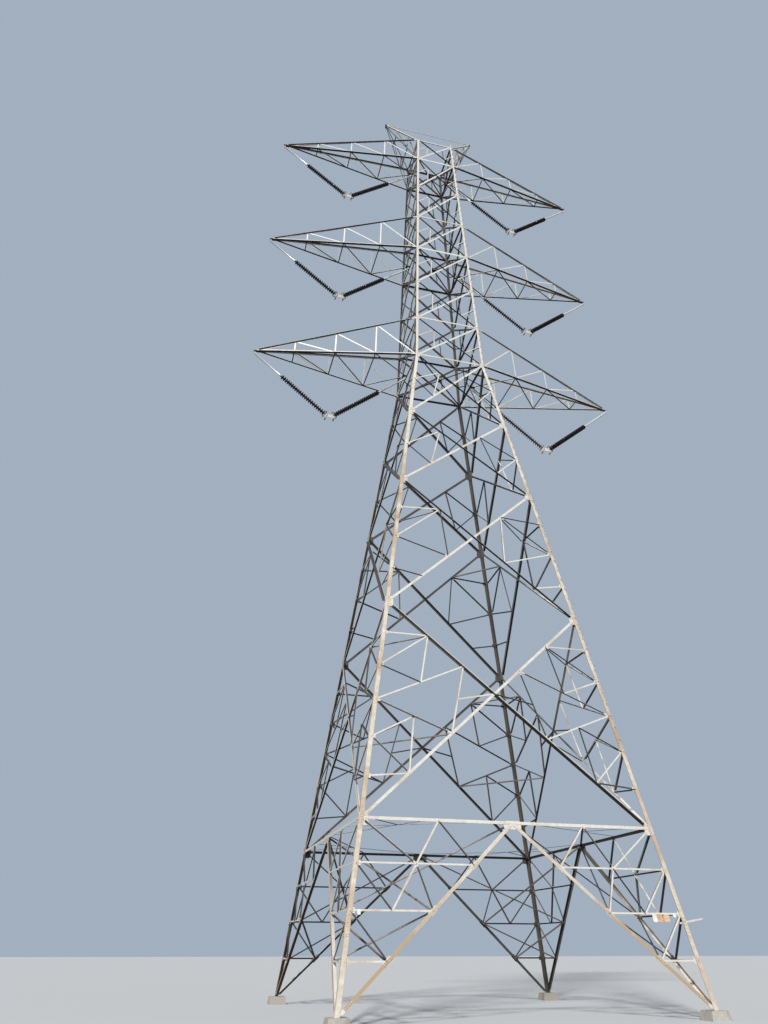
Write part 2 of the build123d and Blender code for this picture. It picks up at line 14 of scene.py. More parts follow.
import bpy
import numpy as np
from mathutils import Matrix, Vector


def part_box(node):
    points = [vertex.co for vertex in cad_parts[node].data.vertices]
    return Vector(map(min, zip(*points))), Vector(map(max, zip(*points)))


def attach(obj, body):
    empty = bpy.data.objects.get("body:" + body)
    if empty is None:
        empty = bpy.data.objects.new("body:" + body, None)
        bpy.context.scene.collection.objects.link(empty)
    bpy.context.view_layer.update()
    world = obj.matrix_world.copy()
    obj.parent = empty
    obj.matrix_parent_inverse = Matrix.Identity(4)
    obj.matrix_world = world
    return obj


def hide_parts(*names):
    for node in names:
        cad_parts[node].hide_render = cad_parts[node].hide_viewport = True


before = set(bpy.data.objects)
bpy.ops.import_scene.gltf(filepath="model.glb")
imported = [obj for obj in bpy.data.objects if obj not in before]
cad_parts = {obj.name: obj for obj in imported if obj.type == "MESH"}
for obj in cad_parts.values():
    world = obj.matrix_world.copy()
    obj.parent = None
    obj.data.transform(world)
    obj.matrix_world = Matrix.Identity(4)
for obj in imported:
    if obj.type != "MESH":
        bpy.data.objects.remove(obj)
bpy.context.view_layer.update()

LOG = logging.getLogger("pylon")
Array = np.ndarray
# A shape is its vertices, one a row, and its faces, four vertex numbers a row.
Shape = tuple[Array, Array]
PYLON = "pylon"

# How far the hanging plates reach below an arm's bottom chords.
HANGER_DROP = 0.080
# How thick the covers over packed flats are.
COVER = 0.002
# How far along a line a second point is taken to give the line's direction in space.
STRIDE = 0.1
# The way from the tower to the camera's side, as one row.
FRONT = np.array([[0.0, -1.0, 0.0]])
# The section of the two short angles that stand alone, low on a leg and at the top.
STUB_WIDTH, STUB_WALL = 0.03, 0.004
# A direction that no rod here runs along, which gives a straight rod a side too.
SKEW = np.array([0.013, 0.021, 0.5])
# How upright a surface's normal may be before its bolt heads take another axis.
UPRIGHT = 0.9


class Side(Enum):
    """The four flat sides of the tower, each with its turn about the tower's axis."""

    NEAR = 0.0
    RIGHT = 90.0
    FAR = 180.0
    LEFT = 270.0


class Slot(Enum):
    """The finishes named in the model's record."""

    STEEL = "galvanised_steel"
    FITTINGS = "line_fittings"
    PORCELAIN = "porcelain"


def unit(vectors: Array) -> Array:
    """Each row's direction: the row divided by its length."""
    return vectors / np.linalg.norm(vectors, axis=-1, keepdims=True)


def turned(points: Array, degrees: float) -> Array:
    """Points turned about the Z axis: x' = x cos t - y sin t, y' = x sin t + y cos t.

    Args:
        points: Points or directions, one a row.
        degrees: The turn, anticlockwise seen from above.

    Returns:
        The turned points.
    """
    t = math.radians(degrees)
    spin = np.array([[math.cos(t), -math.sin(t), 0.0], [math.sin(t), math.cos(t), 0.0], [0.0, 0.0, 1.0]])
    return points @ spin.T


def prism_sides(corners: int) -> list[list[int]]:
    """The side faces between a lower ring of corners, numbered from 0, and the ring over it."""
    return [[i, (i + 1) % corners, corners + (i + 1) % corners, corners + i] for i in range(corners)]


def make_piece(name: str, shape: Shape, finish: "Finish", body: str = PYLON,
               smooth: bool = False) -> bpy.types.Object:
    """Put vertices and four-sided faces into a new object that rides on a body.

    Args:
        name: The piece's name.
        shape: Its vertices and its faces, anticlockwise seen from outside.
        finish: Its finish.
        body: The CAD body that carries the piece.
        smooth: Whether faces shade smoothly.

    Returns:
        The new object, at the origin, with its place in its mesh.
    """
    vertices, quads = shape
    mesh = bpy.data.meshes.new(name)
    mesh.vertices.add(len(vertices))
    mesh.vertices.foreach_set("co", np.asarray(vertices, np.float32).ravel())
    mesh.loops.add(quads.size)
    mesh.loops.foreach_set("vertex_index", np.asarray(quads, np.int32).ravel())
    mesh.polygons.add(len(quads))
    mesh.polygons.foreach_set("loop_start", np.arange(0, quads.size, 4, dtype=np.int32))
    mesh.polygons.foreach_set("use_smooth", np.full(len(quads), smooth))
    mesh.update(calc_edges=True)
    mesh.validate()
    mesh.materials.append(finish.material())
    piece = bpy.data.objects.new(name, mesh)
    bpy.context.scene.collection.objects.link(piece)
    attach(piece, body)
    LOG.info("%s: %d faces on %s", name, len(quads), body)
    return piece


def joined(parts: list[Shape]) -> Shape:
    """Several vertex and face arrays as one pair, with the later faces renumbered."""
    offsets = np.cumsum([0] + [len(vertices) for vertices, _ in parts[:-1]])
    vertices = np.concatenate([vertices for vertices, _ in parts])
    quads = np.concatenate([quads + offset for (_, quads), offset in zip(parts, offsets)])
    return vertices, quads


def repeated(local: Array, quads: Array, origins: Array, axes: Array) -> Shape:
    """One small shape set down at many places.

    Each copy's point is origin + local x * axis 0 + local y * axis 1 + local z * axis 2.

    Args:
        local: The shape's vertices in its own axes.
        quads: The shape's faces.
        origins: Where each copy stands, one a row.
        axes: Three axes for each copy, as an array of N x 3 x 3.

    Returns:
        The vertices and faces of all copies.
    """
    vertices = (origins[:, None, :] + np.einsum("vk,nkc->nvc", local, axes)).reshape(-1, 3)
    steps = np.arange(len(origins))[:, None, None] * len(local)
    return vertices, (quads[None] + steps).reshape(-1, 4)


def axes_along(directions: Array, towards: Array) -> Array:
    """Three square axes for each direction: across, across again and the direction itself.

    Args:
        directions: The third axis of each copy.
        towards: A direction that the first axis comes near to.

    Returns:
        An array of N x 3 x 3, right-handed.
    """
    third = unit(directions)
    first = unit(towards - np.sum(towards * third, axis=1, keepdims=True) * third)
    second = np.cross(third, first)
    return np.stack([first, second, third], axis=1)


def revolved(profile: Array, segments: int) -> Shape:
    """A profile of radius and height turned about the Z axis, closed at both ends by its own points.

    The point at angle a is (r cos a, r sin a, h), for each radius r and height h.

    Args:
        profile: Radius and height of each point, from the bottom up on the outside.
        segments: How many steps make the full turn.

    Returns:
        Vertices and faces.
    """
    angle = np.arange(segments) * 2 * math.pi / segments
    radius, height = profile[:, 0, None], profile[:, 1, None]
    level = np.broadcast_to(height, (len(profile), segments))
    ring = np.stack([radius * np.cos(angle), radius * np.sin(angle), level], 2)
    row = np.arange(len(profile) - 1)[:, None] * segments
    here = np.arange(segments)
    after = (here + 1) % segments
    quads = np.stack([row + here, row + after, row + segments + after, row + segments + here], 2)
    return ring.reshape(-1, 3), quads.reshape(-1, 4)


def swept(path: Array, radius: float, sides: int, closed: bool) -> Shape:
    """A round rod along a path: rings of the radius, square to the path at each of its points.

    Args:
        path: The centre line's points.
        radius: The rod's radius.
        sides: How many sides the rod has.
        closed: Whether the last point joins the first.

    Returns:
        Vertices and faces.
    """
    if closed:
        run = np.roll(path, -1, 0) - np.roll(path, 1, 0)
    else:
        run = np.gradient(path, axis=0)
    run = unit(run)
    normal = unit(np.cross(run, np.roll(run, 1, 0) + SKEW))
    other = np.cross(run, normal)
    angle = (np.arange(sides) * 2 * math.pi / sides)[:, None]
    ring = path[:, None] + radius * (normal[:, None] * np.cos(angle) + other[:, None] * np.sin(angle))
    count = len(path) if closed else len(path) - 1
    row = np.arange(count)[:, None]
    here = np.arange(sides)
    after = (here + 1) % sides
    below, above = row * sides, (row + 1) % len(path) * sides
    quads = np.stack([below + here, below + after, above + after, above + here], 2).reshape(-1, 4)
    return ring.reshape(-1, 3), quads


HEX_TURNS = np.arange(6) * math.pi / 3
HEX_HEAD = np.array([(math.cos(a), math.sin(a), h) for h in (0.0, 1.0) for a in HEX_TURNS])
HEX_FACES = np.array(prism_sides(6) + [[6, 7, 8, 9], [6, 9, 10, 11]])


def bolt_heads(places: Array, normals: Array, radius: float, height: float) -> Shape:
    """Six-sided bolt heads that stand on a surface.

    Args:
        places: Where each head stands.
        normals: The surface's direction at each place.
        radius: From a head's middle to its corners.
        height: How far a head stands out.

    Returns:
        Vertices and faces.
    """
    lean = np.where(np.abs(normals[:, 2:3]) > UPRIGHT, [[1.0, 0.0, 0.0]], [[0.0, 0.0, 1.0]])
    return repeated(HEX_HEAD * [radius, radius, height], HEX_FACES, places, axes_along(normals, lean))


def angle_bars(starts: Array, ends: Array, outwards: Array, width: float, wall: float,
               flip: Array | None = None) -> Shape:
    """Rolled angles, each with its flat square to outwards and its other flange standing inwards.

    A section point is start + across * a - outwards * d, where a runs over the flat's width about
    the bar's line and d is the depth under the flat's outer face.

    Args:
        starts: Each bar's start, on the outer face of its flat.
        ends: Each bar's end.
        outwards: The direction that each flat faces.
        width: The flanges' width.
        wall: The flanges' thickness.
        flip: True for bars whose standing flange is on the other edge.

    Returns:
        Vertices and faces.
    """
    run = unit(ends - starts)
    out = unit(outwards - np.sum(outwards * run, axis=1, keepdims=True) * run)
    hand = np.ones(len(starts)) if flip is None else np.where(flip, -1.0, 1.0)
    across = np.cross(run, out) * hand[:, None]
    half = width / 2
    outline = np.array([(-half, 0), (half, 0), (half, width),
                        (half - wall, width), (half - wall, wall), (-half, wall)])
    ring = across[:, None] * outline[None, :, :1] - out[:, None] * outline[None, :, 1:]
    vertices = np.stack([starts[:, None] + ring, ends[:, None] + ring], 1).reshape(-1, 3)
    caps = [[5, 4, 1, 0], [4, 3, 2, 1], [6, 7, 10, 11], [7, 8, 9, 10]]
    quads = np.array(prism_sides(6) + caps)[None] + np.arange(len(starts))[:, None, None] * 12
    quads = np.where(hand[:, None, None] > 0, quads[..., ::-1], quads)
    return vertices, quads.reshape(-1, 4)


def plates(centres: Array, rights: Array, outwards: Array, sizes: Array, wall: float) -> Shape:
    """Rectangular plates, each centred on a point, facing outwards, with clipped corners.

    Each corner's cut takes the share clip / 2 of both sides that meet there.

    Args:
        centres: The middle of each plate's back.
        rights: The direction of each plate's first side.
        outwards: The direction that each plate faces.
        sizes: Each plate's two sides.
        wall: The plates' thickness.

    Returns:
        Vertices and faces.
    """
    clip = 0.3
    corners = np.array([(-1, -1 + clip), (-1 + clip, -1), (1 - clip, -1), (1, -1 + clip),
                        (1, 1 - clip), (1 - clip, 1), (-1 + clip, 1), (-1, 1 - clip)]) / 2
    local = np.array([(x, y, z) for z in (0.0, 1.0) for x, y in corners])
    top = [[8, 9, 14, 15], [9, 10, 13, 14], [10, 11, 12, 13]]
    bottom = [[7, 6, 1, 0], [6, 5, 2, 1], [5, 4, 3, 2]]
    quads = np.array(prism_sides(8) + top + bottom)
    axes = axes_along(outwards, rights)
    axes = axes * np.stack([sizes[:, 0], sizes[:, 1], np.full(len(sizes), wall)], 1)[:, :, None]
    return repeated(local, quads, centres, axes)


@dataclass(frozen=True)
class Tower:
    """The body's outline: levels and widths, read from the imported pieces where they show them."""

    second: float = 10.930
    first: float = 13.295
    low_middle: float = 18.525
    high_middle: float = 23.080
    level_clearance: float = 0.002
    rail_half: float = 0.0275
    leg_gauge: float = 0.050
    cage_gauge: float = 0.040
    leg_wall: float = 0.008
    cage_leg_wall: float = 0.006
    bar_wall: float = 0.004
    cage_bar_wall: float = 0.003
    foot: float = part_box("footing_caps")[1].z
    foot_half: float = -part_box("leg_near_left")[0].x
    top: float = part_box("leg_near_left")[1].z
    third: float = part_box("lower_bracing_near")[1].z
    waist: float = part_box("cage_bracing_near")[0].z - level_clearance
    waist_half: float = 1.010
    top_half: float = 0.630
    belt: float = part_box("lower_bracing_near")[0].z - level_clearance - rail_half

    def half(self, z: Array | float) -> Array:
        """Half the width between the legs' outer corners: straight from foot to waist to top."""
        halves = [self.foot_half, self.waist_half, self.top_half]
        return np.interp(z, [self.foot, self.waist, self.top], halves)

    def lean(self, z: float) -> float:
        """How far a side leans in at a height, as an angle."""
        if z < self.waist:
            return math.atan2(self.foot_half - self.waist_half, self.waist - self.foot)
        return math.atan2(self.waist_half - self.top_half, self.top - self.waist)

    def gauge(self, z: Array | float) -> Array:
        """Half the width between the legs' gauge lines, where the bars end."""
        inset = np.where(np.asarray(z) <= self.waist, self.leg_gauge, self.cage_gauge)
        return self.half(z) - inset

    def on_gauge(self, z: Array, hand: float, shift: float = 0.0) -> Array:
        """Offset and height of points on a leg's gauge line, or moved outwards from it by shift."""
        return np.stack([hand * (self.gauge(z) + shift), z], 1)

    def cross(self, z: Array | float, low: float, high: float) -> Array:
        """How far from the middle the diagonals of a panel are at a height.

        One diagonal runs from -gauge at the low level to +gauge at the high one, and the other is
        its mirror image, so the distance is the size of the straight line between those ends.

        Args:
            z: The height.
            low: The panel's low level.
            high: The panel's high level.

        Returns:
            The distance from the middle.
        """
        share = (np.asarray(z) - low) / (high - low)
        return np.abs(-self.gauge(low) + (self.gauge(low) + self.gauge(high)) * share)

    def outward(self, side: Side, z: float) -> Array:
        """The direction that a side faces at a height."""
        lean = self.lean(z)
        return turned(np.array([0.0, -math.cos(lean), math.sin(lean)]), side.value)

    def outwards(self, side: Side, heights: Array) -> Array:
        """The direction that a side faces at each of several heights, one a row."""
        return np.array([self.outward(side, z) for z in heights])

    def place(self, side: Side, points: Array, depth: float | Array) -> Array:
        """Points of a side in space.

        Args:
            side: Which side.
            points: Offset from the middle and height of each point.
            depth: How far each lies inside the legs' outer faces.

        Returns:
            One point in space a row.
        """
        across, z = points[:, 0], points[:, 1]
        inward = self.half(z) - depth
        return turned(np.stack([across, -inward, z], 1), side.value)


TOWER = Tower()


class Level(Enum):
    """The three levels of crossarms."""

    LOW = "low"
    MIDDLE = "middle"
    HIGH = "high"


@dataclass(frozen=True)
class Arm:
    """One level's crossarms: heights of their chords at the body and their reach."""

    bottom: float
    top: float
    reach: float

    @classmethod
    def read(cls, level: Level) -> "Arm":
        """The arm's sizes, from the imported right-hand arm and the hanging plates' drop."""
        low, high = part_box(f"crossarm_{level.value}_right")
        return cls(bottom=low.z + HANGER_DROP, top=high.z, reach=high.x)


ARMS = {level: Arm.read(level) for level in Level}
HANDS = {"right": 1.0, "left": -1.0}
BODY_LEVELS = (TOWER.belt, TOWER.third, TOWER.second, TOWER.first, TOWER.waist)
CAGE_LEVELS = (TOWER.waist, ARMS[Level.LOW].top, TOWER.low_middle, ARMS[Level.MIDDLE].bottom,
               ARMS[Level.MIDDLE].top, TOWER.high_middle, ARMS[Level.HIGH].bottom, TOWER.top)


def diagonals(panels: list[tuple[float, float]]) -> Array:
    """Both diagonals of each panel, from its low level up, as an array of N x 2 x 2."""
    return np.array([[(-hand * TOWER.gauge(low), low), (hand * TOWER.gauge(high), high)]
                     for low, high in panels for hand in (1.0, -1.0)], float)


Socket = bpy.types.NodeSocket
Colour = tuple[float, float, float]


class Sheet:
    """A shader node tree, with short ways to lay its nodes."""

    def __init__(self, tree: bpy.types.NodeTree) -> None:
        """Hold the tree."""
        self.tree = tree

    def fill(self, node: bpy.types.Node, inputs: dict) -> bpy.types.Node:
        """Give a node's sockets their values or links.

        Args:
            node: The node.
            inputs: A value or another node's output for each socket, by its name or number.

        Returns:
            The same node.
        """
        for key, value in inputs.items():
            if isinstance(value, Socket):
                self.tree.links.new(value, node.inputs[key])
            else:
                node.inputs[key].default_value = value
        return node

    def node(self, kind: str, inputs: dict | None = None, **settings: object) -> bpy.types.Node:
        """Lay one node.

        Args:
            kind: The node's type.
            inputs: Its sockets' values or links.
            **settings: Its own settings, such as its operation.

        Returns:
            The node.
        """
        made = self.tree.nodes.new(kind)
        for name, value in settings.items():
            setattr(made, name, value)
        return self.fill(made, inputs or {})

    def maths(self, operation: str, *values: Socket | float) -> Socket:
        """The result of one operation on its values."""
        return self.node("ShaderNodeMath", dict(enumerate(values)), operation=operation).outputs[0]

    def ranged(self, source: Socket, bounds: tuple[float, float]) -> Socket:
        """A value's place between two bounds, from 0 at the first to 1 at the second."""
        inputs = {"Value": source, "From Min": bounds[0], "From Max": bounds[1]}
        return self.node("ShaderNodeMapRange", inputs).outputs["Result"]

    def blend(self, mask: Socket, first: object, second: tuple[float, ...]) -> Socket:
        """The first colour where the mask is 0 and the second where it is 1."""
        return self.node("ShaderNodeMix", {0: mask, 6: first, 7: second}, data_type="RGBA").outputs[2]


@dataclass(frozen=True)
class WeatherAndShade:
    """A shader node group: broad stains, fine mottling, specks and painted shade, as masks and a height.

    Faces that look away from the tower, or towards -X where the key sun stands, are kept pale, which
    is painted light, and so is every upright face where the finish asks for it. The rest, inner faces
    and undersides, get painted shade, and faces that look along X high up get more of it.
    Each noise is given as its scale, detail and roughness, and each range as its two bounds.
    """

    name: str = "weather_and_shade"
    inputs: tuple[str, ...] = ("Scale", "Rust", "Low rust", "High pale", "Windward", "Open")
    outputs: tuple[str, ...] = ("Stain", "Mottle", "Speck", "Painted shade", "Height")
    stain_noise: tuple[float, float, float] = (0.9, 5.0, 0.62)
    mottle_noise: tuple[float, float, float] = (9.0, 4.0, 0.6)
    speck_noise: tuple[float, float, float] = (90.0, 4.0, 0.65)
    stain_range: tuple[float, float] = (0.46, 0.72)
    mottle_range: tuple[float, float] = (0.35, 0.7)
    speck_range: tuple[float, float] = (0.65, 0.78)
    painted_shade_range: tuple[float, float] = (0.42, 0.14)
    low_heights: tuple[float, float] = (2.2, 1.0)
    high_heights: tuple[float, float] = (11.0, 17.0)
    rust_gain: float = 0.4
    patchiness: float = 0.2
    x_facing_shade_gain: float = 2.4

    def group(self) -> bpy.types.NodeTree:
        """The group, built on first use.

        Returns:
            A group with the named inputs and outputs.
        """
        found = bpy.data.node_groups.get(self.name)
        if found:
            return found
        tree = bpy.data.node_groups.new(self.name, "ShaderNodeTree")
        for in_out, names in (("INPUT", self.inputs), ("OUTPUT", self.outputs)):
            for name in names:
                tree.interface.new_socket(name, in_out=in_out, socket_type="NodeSocketFloat")
        sheet = Sheet(tree)
        given = sheet.node("NodeGroupInput").outputs
        coords = sheet.node("ShaderNodeTexCoord").outputs
        scaling = {0: coords["Object"], "Scale": given["Scale"]}
        sized = sheet.node("ShaderNodeVectorMath", scaling, operation="SCALE").outputs[0]
        broad, mottled, fine = (self.noise(sheet, sized, sizes)
                                for sizes in (self.stain_noise, self.mottle_noise, self.speck_noise))
        height = sheet.node("ShaderNodeSeparateXYZ", {0: coords["Object"]}).outputs["Z"]
        low = sheet.maths("MULTIPLY", sheet.ranged(height, self.low_heights), given["Low rust"])
        aloft = sheet.maths("MULTIPLY", sheet.ranged(height, self.high_heights), given["High pale"])
        rust = sheet.maths("MULTIPLY_ADD", given["Rust"], self.rust_gain, -self.rust_gain / 2)
        stained = sheet.maths("ADD", sheet.maths("ADD", broad, rust), low)
        sheet.node("NodeGroupOutput", {
            "Stain": sheet.ranged(sheet.maths("SUBTRACT", stained, aloft), self.stain_range),
            "Mottle": sheet.ranged(sheet.maths("ADD", mottled, aloft), self.mottle_range),
            "Speck": sheet.ranged(fine, self.speck_range),
            "Painted shade": self.painted_shade(sheet, given, coords, broad, aloft),
            "Height": fine,
        })
        return tree

    def noise(self, sheet: Sheet, place: Socket, sizes: tuple[float, float, float]) -> Socket:
        """A noise over the scaled coordinates, by its scale, detail and roughness."""
        inputs = dict(zip(("Scale", "Detail", "Roughness"), sizes), Vector=place)
        return sheet.node("ShaderNodeTexNoise", inputs).outputs["Fac"]

    def painted_shade(self, sheet: Sheet, given: object, coords: object, broad: Socket,
                aloft: Socket) -> Socket:
        """How much painted shade a face gets.

        Args:
            sheet: The group's tree.
            given: The group's inputs.
            coords: The texture coordinates' outputs.
            broad: The broad noise, which makes the edge of the painted shade patchy.
            aloft: How much a high place is paled.

        Returns:
            0 on faces kept pale and 1 on faces in full painted shade.
        """
        vector = "ShaderNodeVectorMath"
        flat = sheet.node(vector, {0: coords["Object"], 1: (1.0, 1.0, 0.0)}, operation="MULTIPLY").outputs[0]
        away = sheet.node(vector, {0: flat}, operation="NORMALIZE").outputs[0]
        facing = sheet.node(vector, {0: away, 1: coords["Normal"]}, operation="DOT_PRODUCT").outputs["Value"]
        normal = sheet.node("ShaderNodeSeparateXYZ", {0: coords["Normal"]}).outputs
        # Faces towards -X, the key sun's side, are kept pale: painted light.
        windward = sheet.maths("MULTIPLY", sheet.maths("MULTIPLY", normal["X"], -1.0), given["Windward"])
        upright = sheet.maths("SUBTRACT", 1.0, sheet.maths("ABSOLUTE", normal["Z"]))
        # Faces that look away from the tower, and upright faces where asked, are kept pale; inner faces and
        # undersides get painted shade.
        kept_pale = sheet.maths("MULTIPLY_ADD", upright, given["Open"], sheet.maths("MAXIMUM", facing, windward))
        # Faces that look along X high up get more painted shade.
        x_facing_shade = sheet.maths("MULTIPLY", sheet.maths("ABSOLUTE", normal["X"]), aloft)
        patchy = sheet.maths("MULTIPLY_ADD", broad, self.patchiness, kept_pale)
        pale_amount = sheet.maths("SUBTRACT", patchy, sheet.maths("MULTIPLY", x_facing_shade, self.x_facing_shade_gain))
        return sheet.ranged(pale_amount, self.painted_shade_range)


@dataclass(frozen=True)
class Finish:
    """A weathered finish: four colours, how it reflects, how the elements have worked on it and
    where shade is painted on it.

    The colours are the body's, a lighter bloom's, the stain's and that of the painted shade on inner
    faces and undersides.
    """

    name: str
    body: Colour
    bloom: Colour
    stain: Colour
    # The painted shade's colour, on inner faces and undersides.
    shade_colour: Colour
    metallic: float = 0.1
    smooth: float = 0.5
    rough: float = 0.75
    rust: float = 0.3
    scale: float = 1.5
    bump: float = 0.3
    bump_distance: float = 0.002
    speck_shade: float = 0.6
    coat: float = 0.0
    coat_roughness: float = 0.12
    # How much faces towards -X, the key sun's side, are kept pale: painted light.
    windward: float = 0.9
    # How much upright faces are kept free of the painted shade.
    open_air: float = 0.0
    low_rust: float = 0.0
    high_pale: float = 0.0

    def material(self) -> bpy.types.Material:
        """The finish as a material, built on first use.

        Returns:
            A Principled material whose colour goes from body to bloom by the mottling, to the
            stain by the stain and speck masks, then to the painted shade's colour on inner faces and
            undersides.
        """
        found = bpy.data.materials.get(self.name)
        if found:
            return found
        made = bpy.data.materials.new(self.name)
        made.use_nodes = True
        sheet = Sheet(made.node_tree)
        amounts = (self.scale, self.rust, self.low_rust, self.high_pale, self.windward, self.open_air)
        weather_and_shade = WeatherAndShade()
        inputs = dict(zip(weather_and_shade.inputs, amounts))
        marks_and_shade = sheet.node("ShaderNodeGroup", inputs, node_tree=weather_and_shade.group()).outputs
        base = sheet.blend(marks_and_shade["Mottle"], (*self.body, 1.0), (*self.bloom, 1.0))
        stained = sheet.blend(marks_and_shade["Stain"], base, (*self.stain, 1.0))
        speck = (*(self.speck_shade * value for value in self.stain), 1.0)
        specked = sheet.blend(marks_and_shade["Speck"], stained, speck)
        roughness = {"To Min": self.smooth, "To Max": self.rough, "Value": marks_and_shade["Stain"]}
        relief = {"Strength": self.bump, "Distance": self.bump_distance, "Height": marks_and_shade["Height"]}
        # The last blend paints shade: the shade colour over inner faces and undersides.
        sheet.fill(made.node_tree.nodes["Principled BSDF"], {
            "Base Color": sheet.blend(marks_and_shade["Painted shade"], specked, (*self.shade_colour, 1.0)),
            "Metallic": self.metallic,
            "Roughness": sheet.node("ShaderNodeMapRange", roughness).outputs["Result"],
            "Coat Weight": self.coat,
            "Coat Roughness": self.coat_roughness,
            "Normal": sheet.node("ShaderNodeBump", relief).outputs["Normal"],
        })
        return made


LEG_STEEL = Finish(
    "leg_steel", (0.60, 0.50, 0.37), (0.76, 0.70, 0.60), (0.38, 0.23, 0.12), (0.10, 0.085, 0.07),
    rust=0.5, scale=1.0, bump=0.35, windward=0.0, high_pale=0.35,
)
BAR_STEEL = Finish(
    "bar_steel", (0.66, 0.61, 0.52), (0.76, 0.73, 0.66), (0.44, 0.31, 0.19), (0.085, 0.075, 0.065),
    smooth=0.48, rough=0.72, rust=0.35, scale=1.3, windward=0.1,
)
LIMB_STEEL = Finish(
    "limb_steel", (0.62, 0.54, 0.43), (0.72, 0.66, 0.56), (0.46, 0.33, 0.20), (0.085, 0.075, 0.065),
    rust=0.4, scale=1.3, windward=0.1, low_rust=0.4,
)
# A dark brown copy of the steel: painted shade, for horn and hip bars that show in shade.
SHADED_BROWN_STEEL = Finish(
    "painted_shade_brown", (0.20, 0.17, 0.14), (0.30, 0.27, 0.23), (0.20, 0.13, 0.08), (0.09, 0.08, 0.07),
    windward=0.0,
)
# A near black copy of the bar steel: painted shade, for the bars and covers that show in shade.
DEEP_SHADE_STEEL = Finish(
    "painted_deep_shade", (0.060, 0.055, 0.050), (0.10, 0.09, 0.08), (0.09, 0.06, 0.04), (0.045, 0.040, 0.035),
    windward=0.0,
)
WHITE_STEEL = Finish(
    "white_steel", (0.66, 0.64, 0.59), (0.76, 0.74, 0.70), (0.62, 0.54, 0.43), (0.10, 0.09, 0.08),
    smooth=0.45, rough=0.7, rust=0.2, scale=1.1, bump=0.25, open_air=1.0,
)
ARM_STEEL = Finish(
    "arm_steel", (0.46, 0.44, 0.40), (0.60, 0.58, 0.53), (0.30, 0.23, 0.16), (0.08, 0.07, 0.06),
    rough=0.72, rust=0.25, scale=1.1, open_air=1.0,
)
FITTING_STEEL = Finish(
    "fitting_steel", (0.60, 0.54, 0.46), (0.74, 0.70, 0.62), (0.46, 0.30, 0.17), (0.40, 0.34, 0.27),
    metallic=0.2, smooth=0.35, rough=0.6, rust=0.4, scale=3.0, open_air=1.0,
)
LINK_STEEL = Finish(
    "link_steel", (0.74, 0.73, 0.69), (0.82, 0.81, 0.78), (0.55, 0.48, 0.38), (0.62, 0.60, 0.56),
    metallic=0.2, smooth=0.3, rough=0.5, rust=0.2, scale=3.0, bump=0.2, open_air=1.0,
)
RING_STEEL = Finish(
    "ring_steel", (0.10, 0.09, 0.08), (0.15, 0.13, 0.11), (0.12, 0.08, 0.05), (0.08, 0.07, 0.06),
    metallic=0.3, smooth=0.4, rough=0.6, scale=4.0, bump=0.2,
)
GLAZE = Finish(
    "brown_glaze", (0.030, 0.017, 0.013), (0.050, 0.026, 0.019), (0.026, 0.020, 0.018), (0.024, 0.014, 0.011),
    metallic=0.0, smooth=0.3, rough=0.5, rust=0.2, scale=4.0, bump=0.05, coat=0.25,
)
CAP_CONCRETE = Finish(
    "cap_concrete", (0.42, 0.39, 0.34), (0.52, 0.49, 0.43), (0.24, 0.21, 0.17), (0.38, 0.35, 0.30),
    metallic=0.0, smooth=0.8, rough=0.95, rust=0.4, scale=2.0, bump=0.6,
)
SIGN_WHITE = Finish(
    "sign_white", (0.78, 0.77, 0.73), (0.84, 0.83, 0.80), (0.55, 0.47, 0.36), (0.60, 0.58, 0.54),
    metallic=0.0, smooth=0.4, rough=0.6, scale=3.0, bump=0.1,
)
SIGN_ORANGE = Finish(
    "sign_orange", (0.62, 0.36, 0.18), (0.78, 0.60, 0.42), (0.45, 0.24, 0.12), (0.40, 0.22, 0.11),
    metallic=0.0, smooth=0.45, rough=0.65, rust=0.35, scale=3.0, bump=0.1,
)


@dataclass(frozen=True)
class Panel:
    """One panel of a side: its levels, and the struts and redundant bars of its right half.

    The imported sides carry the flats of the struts, and the bars are added whole. The nodes' table
    gives each node's share of the panel's height, or of the top rail's half for a rail's node.
    """

    low: float
    high: float
    struts: tuple[tuple[str, str], ...] = ()
    bars: tuple[tuple[str, str], ...] = ()
    nodes: dict[str, float] = field(default_factory=dict)

    def ends(self, pairs: tuple[tuple[str, str], ...]) -> Array:
        """Both halves' bars between pairs of nodes, as an array of N x 2 x 2."""
        return np.array([[self.point(key, hand) for key in pair] for hand in (1.0, -1.0) for pair in pairs])

    def point(self, key: str, hand: float) -> tuple[float, float]:
        """A node's offset and height.

        A key of the form leg:s is on the leg's gauge line at the height of node s, x:s is on the
        panel's diagonals there, knee:s is on the limb that runs from the top's middle to the
        foot, and rail:s is on the top rail. mid:a/b is half-way between the nodes a and b, and
        hub is where the diagonals cross.

        Args:
            key: The node's key.
            hand: 1 for the right half and -1 for the left.

        Returns:
            The offset from the middle and the height.
        """
        kind, _, rest = key.partition(":")
        low, high = float(TOWER.gauge(self.low)), float(TOWER.gauge(self.high))
        if kind == "mid":
            a, b = (self.point(end, hand) for end in rest.split("/"))
            return ((a[0] + b[0]) / 2, (a[1] + b[1]) / 2)
        if kind == "hub":
            return (0.0, self.low + (self.high - self.low) * low / (low + high))
        if kind == "rail":
            return (hand * high * self.nodes[rest], self.high)
        z = self.low + (self.high - self.low) * self.nodes[rest]
        if kind == "leg":
            return (hand * float(TOWER.gauge(z)), z)
        if kind == "knee":
            return (hand * low * (self.high - z) / (self.high - self.low), z)
        return (hand * float(TOWER.cross(z, self.low, self.high)), z)


